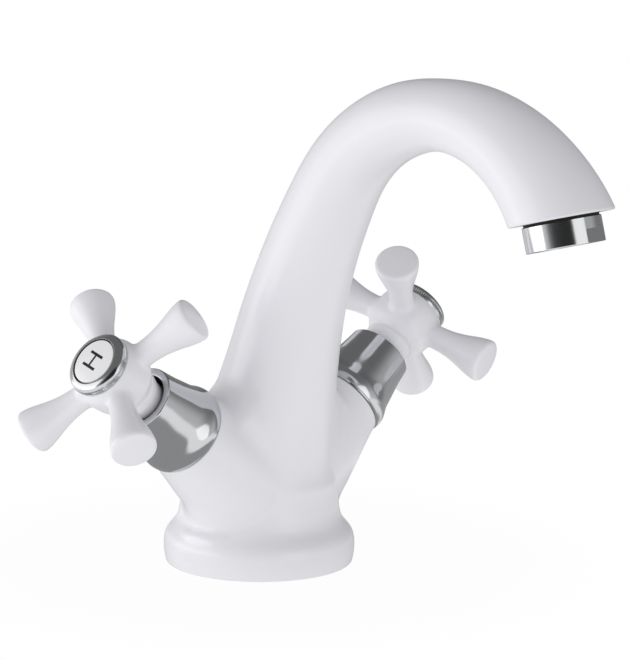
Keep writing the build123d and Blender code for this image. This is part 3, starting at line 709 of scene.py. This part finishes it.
def cut_and_step(shape, matrix, face, upward, reach, softness, outline):
    """Cut a shell square to a local axis at its end face and carry it on to a closed end.

    The shell's edge at the face is rounded by the softness, and the rings that follow have the
    outline's (radius, height). A fan closes the last ring.
    """
    sign = 1 if upward else -1
    cut = face - sign * softness
    inverse = matrix.inverted()
    near = []
    for side in shape.faces:
        place = inverse @ side.calc_center_median()
        if math.hypot(place.x, place.y) < reach and (place.z - cut) * sign > -CUT_MARGIN:
            near.append(side)
    edges = {edge for side in near for edge in side.edges}
    verts = {vert for side in near for vert in side.verts}
    bmesh.ops.bisect_plane(
        shape,
        geom=near + list(edges) + list(verts),
        dist=CUT_WELD,
        plane_co=matrix @ Vector((0, 0, cut)),
        plane_no=matrix.to_3x3() @ Vector((0, 0, sign)),
        clear_outer=True,
    )
    rim = [edge for edge in shape.edges if len(edge.link_faces) == 1]
    links = {}
    for edge in rim:
        for vert, other in (edge.verts, reversed(edge.verts)):
            links.setdefault(vert, []).append(other)
    loop = [rim[0].verts[0], rim[0].verts[1]]
    while True:
        following = [vert for vert in links[loop[-1]] if vert is not loop[-2]]
        if not following or following[0] is loop[0]:
            break
        loop.append(following[0])
    places = [(inverse @ vert.co).xy for vert in loop]
    turns = math.pi / 6, math.pi / 3, math.pi / 2
    rings = []
    for turn in turns if softness else ():
        inset = softness * (1 - math.cos(turn))
        height = face - sign * softness * (1 - math.sin(turn))
        rings.append(([place.length - inset for place in places], height))
    rings += [([radius] * len(places), height) for radius, height in outline]
    last = loop
    for radii, height in rings:
        ring = []
        for place, radius in zip(places, radii):
            out = place.normalized() * radius
            ring.append(shape.verts.new(matrix @ Vector((out.x, out.y, height))))
        for index in range(len(ring)):
            following = (index + 1) % len(ring)
            shape.faces.new((last[index], last[following], ring[following], ring[index]))
        last = ring
    centre = shape.verts.new(matrix @ Vector((0, 0, outline[-1][1])))
    for index in range(len(last)):
        shape.faces.new((last[index], last[(index + 1) % len(last)], centre))


def build_body_mesh(spacing, blend):
    """Skin of the casting: foot, trunk, ports and spout drawn into one smooth form."""
    spine = Spine(body_spine())
    ports = [Turning(valve_frame(side), PORT_HEIGHTS, PORT_RADII) for side in SIDES.values()]

    def distance(points):
        union = spine.distance(points)
        for port in ports:
            height = port.local(points)[:, 2]
            solid = port.closed_below(port.distance(points), -PORT_ROOT_DEPTH - height)
            fade = np.clip(-height / FRONT_FADE, 0, 1) * np.clip((height + PORT_ROOT_DEPTH) / ROOT_FADE, 0, 1)
            union = merge(union, solid, blend * fade * fade * (3 - 2 * fade))
        return union

    rough = spine.shell()
    for side in SIDES.values():
        join(rough, turned(ROUGH_PORT, even_turns(TUBE_SIDES)), valve_frame(side))
    skin = settle(remeshed(rough, spacing), distance)

    for side in SIDES.values():
        cut_and_step(skin, valve_frame(side), 0.0, True, 20.0, PORT_EDGE, PORT_BORE)
    cut_and_step(skin, outlet_frame(), 0.0, False, 26.0, OUTLET_EDGE, OUTLET_BORE)
    cut_and_step(skin, Matrix.Identity(4), 0.0, False, 60.0, FOOT_EDGE, UNDERSIDE)
    return skin


def build_handle_mesh(matrix, turn, spacing, blend):
    """Skin of a cross handle: hub, four trumpet arms and the collar that enters the bonnet."""
    hub = Turning(matrix, HUB_HEIGHTS, HUB_RADII)
    centre = matrix @ Vector((0, 0, HUB_HEIGHT))
    axis = matrix.to_3x3() @ Vector((0, 0, 1))
    places = []
    for index in range(ARM_COUNT):
        angle = math.radians(turn + 360 / ARM_COUNT * index)
        out = matrix.to_3x3() @ Vector((math.cos(angle), math.sin(angle), 0))
        places.append(axis_frame(centre, out, axis))
    arms = [Turning(place, ARM_REACHES, ARM_RADII) for place in places]

    def distance(points):
        union = hub.distance(points)
        for arm in arms:
            value, outward = arm.distance(points)
            local = arm.local(points)
            reach = np.hypot(local[:, 0], local[:, 1])
            end = local[:, 2] - ARM_END + ARM_DOME * (reach / ARM_DOME_RADIUS) ** 2
            end_outward = np.tile(arm.turn[:, 2], (len(points), 1))
            # The arm is what lies inside both its wall and its end: the union of what lies outside, inverted
            capped, capped_outward = merge((-value, -outward), (-end, -end_outward), ARM_RIM_ROUND)
            solid = arm.closed_below((-capped, -capped_outward), -local[:, 2])
            union = merge(union, solid, blend)
        return union

    rough = bmesh.new()
    turns = even_turns(40)
    join(rough, turned(ROUGH_HUB, turns), matrix)
    for place in places:
        join(rough, turned(ROUGH_ARM, turns), place)
    skin = settle(remeshed(rough, spacing), distance)

    cut_and_step(skin, matrix, HUB_FRONT, True, 14.0, HUB_EDGE, HUB_BORE)
    cut_and_step(skin, matrix, HUB_REAR, False, 14.0, 0.0, COLLAR)
    return skin


def mesh_spacing(size):
    return size * 1 / MM


class MIXER_OT_body(bpy.types.Operator):
    """Cast body with its foot, trunk, ports and swan spout."""

    bl_idname = "mixer.body"
    bl_label = "Body"

    def execute(self, context):
        """Build the body."""
        sizes = context.scene.mixer_sizes
        shape = build_body_mesh(mesh_spacing(sizes.body_mesh), sizes.port_blend / MM)
        mesh = finished_mesh("body_casting", shape, 40.0)
        new_piece("body_casting", mesh, "mixer", "stoved_white_enamel", "mixer_body", slot="white_enamel")
        return {"FINISHED"}


class MIXER_OT_handles(bpy.types.Operator):
    """Hot and cold cross handles."""

    bl_idname = "mixer.handles"
    bl_label = "Cross handles"

    def execute(self, context):
        """Build both handles."""
        sizes = context.scene.mixer_sizes
        for name, turn in HANDLE_TURNS.items():
            spacing = mesh_spacing(sizes.handle_mesh)
            shape = build_handle_mesh(valve_frame(SIDES[name]), turn, spacing, sizes.arm_blend / MM)
            mesh = finished_mesh(f"{name}_handle_casting", shape, 45.0)
            new_piece(
                f"{name}_handle_casting", mesh, f"{name}_handle", "stoved_white_enamel",
                f"{name}_cross_handle", slot="white_enamel",
            )
        return {"FINISHED"}


class MIXER_OT_bonnets(bpy.types.Operator):
    """Hot and cold chrome bonnets."""

    bl_idname = "mixer.bonnets"
    bl_label = "Bonnets"

    def execute(self, context):
        """Build both bonnets."""
        outline = smooth_profile(BELL, 44) + rounded(BELL_MOUTH)[1:]
        outline += list(BELL_INSIDE) + rounded(BELL_FOOT, 3)[1:]
        for name, side in SIDES.items():
            # Inward faces take the dark second finish: painted shade inside the bonnet's mouth
            shape = paint_inside_shade(turned(outline, even_turns(160)))
            mesh = finished_mesh(f"{name}_bell", shape, 30.0, valve_frame(side))
            new_piece(
                f"{name}_bell", mesh, "mixer", "polished_chrome_plate unplated_inside", f"{name}_bonnet",
                slot="chrome_plate",
            )
        return {"FINISHED"}


def new_group(name, sizes):
    """Geometry node group with inputs for its sizes and its material."""
    tree = bpy.data.node_groups.new(name, "GeometryNodeTree")
    face = tree.interface
    face.new_socket("Geometry", in_out="INPUT", socket_type="NodeSocketGeometry")
    for size in sizes:
        kind = "NodeSocketInt" if size == "Count" else "NodeSocketFloat"
        face.new_socket(size, in_out="INPUT", socket_type=kind)
    face.new_socket("Material", in_out="INPUT", socket_type="NodeSocketMaterial")
    face.new_socket("Geometry", in_out="OUTPUT", socket_type="NodeSocketGeometry")
    return tree, add(tree, "NodeGroupInput", {}).outputs


def close_group(tree, geometry, material):
    """End a geometry node group: instances made real, with their material."""
    real = add(tree, "GeometryNodeRealizeInstances", {"Geometry": geometry}).outputs["Geometry"]
    painted = add(tree, "GeometryNodeSetMaterial", {"Geometry": real, "Material": material})
    add(tree, "NodeGroupOutput", {"Geometry": painted.outputs["Geometry"]})
    return tree


def knurl_tree():
    """Geometry nodes that set ridges round a ring."""
    tree, inputs = new_group("ring_knurl", ("Radius", "Height", "Depth", "Count"))
    circle = add(tree, "GeometryNodeMeshCircle", {"Vertices": inputs["Count"], "Radius": inputs["Radius"]})
    ridge = add(tree, "GeometryNodeMeshCone", {
        "fill_type": "NGON", "Vertices": 4, "Side Segments": 1, "Depth": inputs["Height"],
        "Radius Bottom": inputs["Depth"], "Radius Top": inputs["Depth"],
    })
    place = add(tree, "GeometryNodeInputPosition", {}).outputs["Position"]
    turn = add(tree, "FunctionNodeAlignRotationToVector", {"axis": "X", "Vector": place})
    ridges = add(tree, "GeometryNodeInstanceOnPoints", {
        "Points": circle.outputs["Mesh"], "Instance": ridge.outputs["Mesh"],
        "Rotation": turn.outputs["Rotation"],
    })
    return close_group(tree, ridges.outputs["Instances"], inputs["Material"])


def screen_tree():
    """Geometry nodes that lay two crossed layers of wires over a round opening."""
    tree, inputs = new_group("wire_screen", ("Radius", "Pitch", "Wire"))
    radius, pitch, thickness = inputs["Radius"], inputs["Pitch"], inputs["Wire"]
    half_count = maths(tree, "FLOOR", maths(tree, "DIVIDE", radius, pitch))
    start = maths(tree, "MULTIPLY", maths(tree, "MULTIPLY", half_count, pitch), -1.0)
    row = add(tree, "GeometryNodeMeshLine", {
        "Count": maths(tree, "ADD", maths(tree, "MULTIPLY", half_count, 2.0), 1.0),
        "Start Location": add(tree, "ShaderNodeCombineXYZ", {"X": start}).outputs[0],
        "Offset": add(tree, "ShaderNodeCombineXYZ", {"X": pitch}).outputs[0],
    })
    place = add(tree, "GeometryNodeInputPosition", {}).outputs[0]
    across = add(tree, "ShaderNodeSeparateXYZ", {"Vector": place}).outputs["X"]
    square = maths(tree, "MULTIPLY", radius, radius)
    squared = maths(tree, "SUBTRACT", square, maths(tree, "MULTIPLY", across, across))
    length = maths(tree, "SQRT", maths(tree, "MAXIMUM", squared, 0.0))
    wire = add(tree, "GeometryNodeMeshCylinder", {
        "fill_type": "NGON", "Vertices": 8, "Depth": 2.0, "Radius": thickness,
    })
    wires = add(tree, "GeometryNodeInstanceOnPoints", {
        "Points": row.outputs["Mesh"], "Instance": wire.outputs["Mesh"], "Rotation": (math.pi / 2, 0, 0),
        "Scale": add(tree, "ShaderNodeCombineXYZ", {"X": 1.0, "Y": 1.0, "Z": length}).outputs[0],
    })
    layer = add(tree, "GeometryNodeRealizeInstances", {"Geometry": wires.outputs["Instances"]})
    lift = add(tree, "ShaderNodeCombineXYZ", {"Z": maths(tree, "MULTIPLY", thickness, 1.6)})
    crossed = add(tree, "GeometryNodeTransform", {
        "Geometry": layer.outputs["Geometry"],
        "Rotation": (0, 0, math.pi / 2),
        "Translation": lift.outputs[0],
    })
    both = add(tree, "GeometryNodeJoinGeometry", {})
    tree.links.new(layer.outputs["Geometry"], both.inputs[0])
    tree.links.new(crossed.outputs["Geometry"], both.inputs[0])
    return close_group(tree, both.outputs["Geometry"], inputs["Material"])


def grown(tree, values, matrix):
    """Plain mesh that a geometry node tree makes, set in its place."""
    base = bpy.data.meshes.new("seed")
    piece = bpy.data.objects.new("seed", base)
    bpy.context.scene.collection.objects.link(piece)
    modifier = piece.modifiers.new("grow", "NODES")
    modifier.node_group = tree
    for socket in tree.interface.items_tree:
        if socket.in_out == "INPUT" and socket.name in values:
            modifier[socket.identifier] = values[socket.name]
    mesh = made_mesh(piece)
    bpy.data.meshes.remove(base)
    place = matrix.copy()
    place.translation = place.translation * MM
    mesh.transform(place)
    return mesh


class MIXER_OT_index_rings(bpy.types.Operator):
    """Chrome index rings with their knurled rear edge."""

    bl_idname = "mixer.index_rings"
    bl_label = "Index rings"

    def execute(self, context):
        """Build both rings and their knurls."""
        sizes = context.scene.mixer_sizes
        dome = smooth_profile(RING_DOME, 26)
        outline = rounded(RING_REAR) + dome + rounded([dome[-1], *RING_LIP])[1:]
        tree = knurl_tree()
        values = {
            "Radius": KNURL_RADIUS * MM, "Height": KNURL_WIDTH * MM, "Depth": sizes.knurl_depth,
            "Count": sizes.knurl_count, "Material": finishes()["polished_chrome_plate"],
        }
        for name, side in SIDES.items():
            place = raised(valve_frame(side), HUB_FRONT)
            # Inward faces take the dark second finish: painted shade in the gap round the disc
            shape = paint_inside_shade(turned(outline, even_turns(160)))
            mesh = finished_mesh(f"{name}_ring_band", shape, 32.0, place)
            new_piece(
                f"{name}_ring_band", mesh, f"{name}_handle", "polished_chrome_plate unplated_inside",
                f"{name}_index_ring", slot="chrome_plate",
            )
            knurl = grown(tree, values, raised(place, KNURL_HEIGHT))
            new_piece(f"{name}_ring_knurl", knurl, f"{name}_handle", None, slot="chrome_plate")
        return {"FINISHED"}


class MIXER_OT_index_discs(bpy.types.Operator):
    """Porcelain index discs, each with its letter."""

    bl_idname = "mixer.index_discs"
    bl_label = "Index discs"

    def execute(self, context):
        """Build both discs and letters."""
        radii = [DISC_RADIUS * (1 - step / DISC_RINGS) ** 0.8 for step in range(1, DISC_RINGS + 1)]
        outline = [(0, DISC_BOTTOM), (DISC_RADIUS, DISC_BOTTOM), (DISC_RADIUS, DISC_RIM - 0.2)]
        outline.append((DISC_RADIUS - 0.08, DISC_RIM))
        outline += [(radius, DISC_RIM + disc_rise(radius)) for radius in radii]
        for name, side in SIDES.items():
            mesh = finished_mesh(f"{name}_disc", turned(outline, even_turns(96)), 40.0, valve_frame(side))
            new_piece(
                f"{name}_disc", mesh, f"{name}_handle", "glazed_porcelain", f"{name}_index_disc",
                slot="white_porcelain",
            )
            self.letter(context, name, valve_frame(side))
        return {"FINISHED"}

    def letter(self, context, name, matrix):
        """One block letter that follows the domed face."""
        text = bpy.data.curves.new(f"{name}_letter", "FONT")
        text.body = name[0].upper()
        text.size = context.scene.mixer_sizes.letter_height / MM / CAPITAL_SHARE
        text.align_x = "CENTER"
        text.align_y = "CENTER"
        text.extrude = LETTER_RELIEF
        piece = bpy.data.objects.new(f"{name}_letter_text", text)
        context.scene.collection.objects.link(piece)
        flat = made_mesh(piece)
        shape = bmesh.new()
        shape.from_mesh(flat)
        bpy.data.meshes.remove(flat)
        bmesh.ops.remove_doubles(shape, verts=shape.verts, dist=1e-4)
        for _ in range(5):
            long_edges = [edge for edge in shape.edges if edge.calc_length() > LETTER_MESH]
            bmesh.ops.subdivide_edges(shape, edges=long_edges, cuts=1, use_grid_fill=True)
            bmesh.ops.triangulate(shape, faces=shape.faces)
        for vertex in shape.verts:
            vertex.co.z += DISC_RIM + disc_rise(vertex.co.xy.length)
        turn = Matrix.Rotation(math.radians(LETTER_TURNS[name]), 4, "Z")
        mesh = finished_mesh(f"{name}_letter", shape, 35.0, matrix @ turn)
        new_piece(f"{name}_letter", mesh, f"{name}_handle", "fired_black_marking", slot="white_porcelain")


class MIXER_OT_aerator(bpy.types.Operator):
    """Aerator housing with its wrench flats, and the wire screen inside it."""

    bl_idname = "mixer.aerator"
    bl_label = "Aerator"

    def execute(self, context):
        """Build the housing and the screen."""
        edge = math.acos(HALF_FLATS / AERATOR_RADIUS)
        flat_ends = (edge, -edge, math.pi - edge, math.pi + edge)
        turns = {round(turn % (2 * math.pi), 6) for turn in (*even_turns(144), *flat_ends)}

        def flats(x, y, z):
            if z < FLATS_TOP - 0.01 and abs(x) > HALF_FLATS:
                x = math.copysign(HALF_FLATS, x)
            return x, y, z

        wall, bottom = AERATOR_RADIUS, AERATOR_BOTTOM
        lip = [(9.2, bottom + 1.2), (9.2, bottom, 0.15), (wall, bottom, 0.3), (wall, FLATS_TOP)]
        outline = [(9.8, 5.5), (9.8, bottom + 1.2)] + rounded(lip, 9)[:-1]
        # A ring close to the rounded edge keeps the flats' shading flat
        outline += [(wall, height) for height in (bottom + 0.36, FLATS_TOP - 0.02, FLATS_TOP, -0.95)]
        outline += [(11.85, -0.75), (11.45, -0.6), (11.45, 5.5)]
        shape = turned(outline, sorted(turns), flats)
        # The threaded neck above the gap under the outlet takes the dark second finish: painted shadow in
        # that gap
        for face in shape.faces:
            if face.calc_center_median().z > AERATOR_GAP:
                face.material_index = 1
        place = outlet_frame() @ Matrix.Rotation(AERATOR_TURN, 4, "Z")
        mesh = finished_mesh("aerator_barrel", shape, 15.0, place)
        new_piece(
            "aerator_barrel", mesh, "mixer", "polished_chrome_plate unplated_inside", "aerator_housing",
            slot="chrome_plate",
        )
        values = {
            "Radius": SCREEN_RADIUS * MM, "Pitch": context.scene.mixer_sizes.screen_pitch,
            "Wire": SCREEN_WIRE * MM, "Material": finishes()["satin_stainless_steel"],
        }
        screen = grown(screen_tree(), values, raised(outlet_frame(), SCREEN_HEIGHT))
        new_piece("aerator_mesh", screen, "mixer", None, "aerator_screen", slot="stainless_steel")
        return {"FINISHED"}


class MIXER_OT_inner_pieces(bpy.types.Operator):
    """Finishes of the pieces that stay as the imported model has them."""

    bl_idname = "mixer.inner_pieces"
    bl_label = "Inner pieces"

    def execute(self, context):
        """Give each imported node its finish."""
        # The headwork's dark brass is partly painted shade
        by_word = {
            "headwork_body": "tarnished_brass", "spindle": "turned_brass", "seat_washer": "pressed_red_fibre",
            "fixed_disc": "lapped_alumina", "moving_disc": "lapped_alumina",
            "bottom_seal": "moulded_black_rubber", "glide_ring": "moulded_white_acetal",
            "spindle_clip": "satin_stainless_steel", "spindle_o_rings": "moulded_black_rubber",
            "handle_screw": "satin_stainless_steel", "base_seal": "moulded_black_rubber",
            "aerator_insert": "moulded_white_acetal", "aerator_screen": "satin_stainless_steel",
            "aerator_washer": "moulded_black_rubber", "mixer_body": "stoved_white_enamel",
            "cross_handle": "stoved_white_enamel", "bonnet": "polished_chrome_plate",
            "index_ring": "polished_chrome_plate", "aerator_housing": "polished_chrome_plate",
            "index_disc": "glazed_porcelain",
        }
        for name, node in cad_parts.items():
            finish = by_word[name.removeprefix("hot_").removeprefix("cold_")]
            for slot in node.material_slots:
                slot.material = finishes()[finish]
        return {"FINISHED"}


class MIXER_OT_stage(bpy.types.Operator):
    """Floor, background, lamps and camera."""

    bl_idname = "mixer.stage"
    bl_label = "Stage"

    def execute(self, context):
        """Build the studio."""
        self.camera(context)
        self.floor(context)
        self.world(context)
        self.lamps(context)
        context.scene.view_settings.view_transform = "Standard"
        return {"FINISHED"}

    def camera(self, context):
        """Camera at the photograph's angle."""
        right = Vector((math.cos(CAMERA_TURN), math.sin(CAMERA_TURN), 0))
        level = Vector((-math.sin(CAMERA_TURN), math.cos(CAMERA_TURN), 0))
        ahead = level * math.cos(CAMERA_DIP) - Vector((0, 0, math.sin(CAMERA_DIP)))
        up = right.cross(ahead)
        turned_right = right * math.cos(CAMERA_ROLL) + up * math.sin(CAMERA_ROLL)
        turned_up = up * math.cos(CAMERA_ROLL) - right * math.sin(CAMERA_ROLL)
        data = bpy.data.cameras.new("camera")
        data.sensor_width = SENSOR_MM
        data.lens = FOCUS_PIXELS * SENSOR_MM / IMAGE_HEIGHT
        data.clip_start, data.clip_end = 0.05, 20.0
        camera = bpy.data.objects.new("camera", data)
        context.scene.collection.objects.link(camera)
        matrix = Matrix((turned_right, turned_up, -ahead)).transposed().to_4x4()
        matrix.translation = CAMERA_PLACE
        camera.matrix_world = matrix
        context.scene.camera = camera

    def floor(self, context):
        """White light table: paper lit from below, which shows as white and keeps a faint shadow."""
        shape = bmesh.new()
        bmesh.ops.create_circle(shape, cap_ends=True, segments=96, radius=FLOOR_RADIUS)
        mesh = bpy.data.meshes.new("floor")
        shape.to_mesh(mesh)
        shape.free()
        floor = bpy.data.objects.new("floor", mesh)
        floor.location.z = -FLOOR_DROP
        context.scene.collection.objects.link(floor)
        material, tree = new_material("white_backdrop_paper")
        colour = list(context.scene.mixer_colours.backdrop)
        shaded = [channel * 0.9 for channel in colour[:3]] + [1.0]
        grain = tinted(tree, noise(tree, 4.0, 2.0), shaded, 0.01)
        paper = add(tree, "ShaderNodeBsdfDiffuse", {"Color": grain})
        ray = add(tree, "ShaderNodeLightPath", {}).outputs
        place = add(tree, "ShaderNodeTexCoord", {}).outputs["Object"]
        away = add(tree, "ShaderNodeVectorMath", {"operation": "LENGTH", 0: place}).outputs["Value"]
        # In gloss the table darkens near the foot and towards the right rear: painted shade in its
        # reflections
        rear = ramp(tree, reach_along(tree, place, (0.966, 0.259, 0.0)), 0.09, 0.15, 0.0, 0.6)
        dark = maths(tree, "MAXIMUM", ramp(tree, away, 0.094, 0.112, 0.66, 0.0), rear)
        strength = maths(tree, "SUBTRACT", 1.0, maths(tree, "MULTIPLY", ray["Is Glossy Ray"], dark))
        glow = add(tree, "ShaderNodeEmission", {"Color": colour, "Strength": strength})
        # The eye and gloss get white, with a trace of the paper's shadow near the object
        seen = maths(tree, "MAXIMUM", ray["Is Camera Ray"], ray["Is Glossy Ray"])
        lit = maths(tree, "MAXIMUM", seen, TABLE_LIGHT)
        share = maths(tree, "MULTIPLY", lit, ramp(tree, away, 0.05, 0.14, 0.955, 1.0))
        mixed = add(tree, "ShaderNodeMixShader", {0: share, 1: paper.outputs[0], 2: glow.outputs[0]})
        add(tree, "ShaderNodeOutputMaterial", {"Surface": mixed.outputs[0]})
        mesh.materials.append(material)

    def world(self, context):
        """White for the eye; for light and gloss a studio, darker overhead and behind the camera."""
        world = bpy.data.worlds.new("studio")
        world.use_nodes = True
        tree = world.node_tree
        tree.nodes.clear()
        white = list(context.scene.mixer_colours.backdrop)
        ray = add(tree, "ShaderNodeLightPath", {}).outputs
        place = add(tree, "ShaderNodeTexCoord", {}).outputs["Generated"]
        height = add(tree, "ShaderNodeSeparateXYZ", {"Vector": place}).outputs["Z"]
        # Diffuse light: most from round the horizon, less from overhead, below and the right
        right = ramp(tree, reach_along(tree, place, (0.7, -0.71, 0.0)), -0.6, 0.9, 1.05, 0.76)
        around = maths(tree, "MULTIPLY", ramp(tree, height, 0.0, 0.62, 1.1, 0.5), right)
        around = maths(tree, "MULTIPLY", around, ramp(tree, height, -0.4, 0.0, 0.78, 1.0))
        fill = add(tree, "ShaderNodeBackground", {"Color": linear("FDFDFF"), "Strength": around})
        # What gloss mirrors: a wall that darkens upwards, a black flag behind the camera,
        # a grey one at the right rear, and white below the horizon
        flag = ramp(tree, reach_along(tree, place, (-0.82, -0.55, 0.1)), 0.72, 0.86, 1.0, 0.04)
        wall = maths(tree, "MULTIPLY", ramp(tree, height, 0.0, 0.75, 0.6, 0.17), flag)
        lower = maths(tree, "MAXIMUM", wall, ramp(tree, height, -0.2, 0.1, 1.0, 0.0))
        grey = ramp(tree, reach_along(tree, place, (0.966, 0.259, 0.0)), 0.4, 0.85, 1.0, 0.4)
        mirrored = maths(tree, "MULTIPLY", lower, grey)
        room = add(tree, "ShaderNodeBackground", {"Color": white, "Strength": mirrored})
        backdrop = add(tree, "ShaderNodeBackground", {"Color": white, "Strength": 1.0})
        lit = add(tree, "ShaderNodeMixShader", {
            0: ray["Is Glossy Ray"], 1: fill.outputs[0], 2: room.outputs[0],
        })
        clear = maths(tree, "MAXIMUM", ray["Is Camera Ray"], ray["Is Transmission Ray"])
        seen = add(tree, "ShaderNodeMixShader", {0: clear, 1: lit.outputs[0], 2: backdrop.outputs[0]})
        add(tree, "ShaderNodeOutputWorld", {"Surface": seen.outputs[0]})
        context.scene.world = world

    def lamps(self, context):
        """Soft boxes: a broad one and a narrow low one on the left, one at the right of the camera."""
        for name, bearing, rise, distance, size, radiance in (
            ("left_box", 141, 12, 1.0, (1.05, 0.55), 0.9),
            ("low_box", 139, -5, 0.5, (0.6, 0.09), 1.2),
            ("right_box", 270, 9, 1.0, (0.6, 0.62), 0.75),
        ):
            turn, lift = math.radians(bearing), math.radians(rise)
            out = Vector((math.cos(turn) * math.cos(lift), math.sin(turn) * math.cos(lift), math.sin(lift)))
            data = bpy.data.lights.new(name, "AREA")
            data.shape = "RECTANGLE"
            data.size, data.size_y = size
            data.energy = radiance * math.pi * size[0] * size[1]
            lamp = bpy.data.objects.new(name, data)
            lamp.location = Vector(LAMP_AIM) + out * distance
            lamp.rotation_mode = "QUATERNION"
            lamp.rotation_quaternion = out.to_track_quat("Z", "Y")
            context.scene.collection.objects.link(lamp)


class MIXER_PT_panel(bpy.types.Panel):
    """The mixer's pieces, in the sidebar."""

    bl_label = "Basin mixer"
    bl_space_type = "VIEW_3D"
    bl_region_type = "UI"
    bl_category = "Mixer"

    def draw(self, context):
        """List the operators and the settings."""
        for operator in OPERATORS:
            self.layout.operator(operator.bl_idname)
        for group in (context.scene.mixer_sizes, context.scene.mixer_colours):
            for name in group.__annotations__:
                self.layout.prop(group, name)


OPERATORS = (
    MIXER_OT_body, MIXER_OT_handles, MIXER_OT_bonnets, MIXER_OT_index_rings, MIXER_OT_index_discs,
    MIXER_OT_aerator, MIXER_OT_inner_pieces, MIXER_OT_stage,
)


def register():
    """Register the groups, operators and panel."""
    for group in (MixerSizes, MixerColours, *OPERATORS, MIXER_PT_panel):
        bpy.utils.register_class(group)
    bpy.types.Scene.mixer_sizes = bpy.props.PointerProperty(type=MixerSizes)
    bpy.types.Scene.mixer_colours = bpy.props.PointerProperty(type=MixerColours)


def unregister():
    """Take the groups, operators and panel out again."""
    del bpy.types.Scene.mixer_sizes
    del bpy.types.Scene.mixer_colours
    for group in (MixerSizes, MixerColours, *OPERATORS, MIXER_PT_panel):
        bpy.utils.unregister_class(group)


def main():
    """Build everything in order."""
    register()
    bpy.ops.mixer.inner_pieces()
    bpy.ops.mixer.body()
    bpy.ops.mixer.handles()
    bpy.ops.mixer.bonnets()
    bpy.ops.mixer.index_rings()
    bpy.ops.mixer.index_discs()
    bpy.ops.mixer.aerator()
    bpy.ops.mixer.stage()


if __name__ == "__main__":
    main()
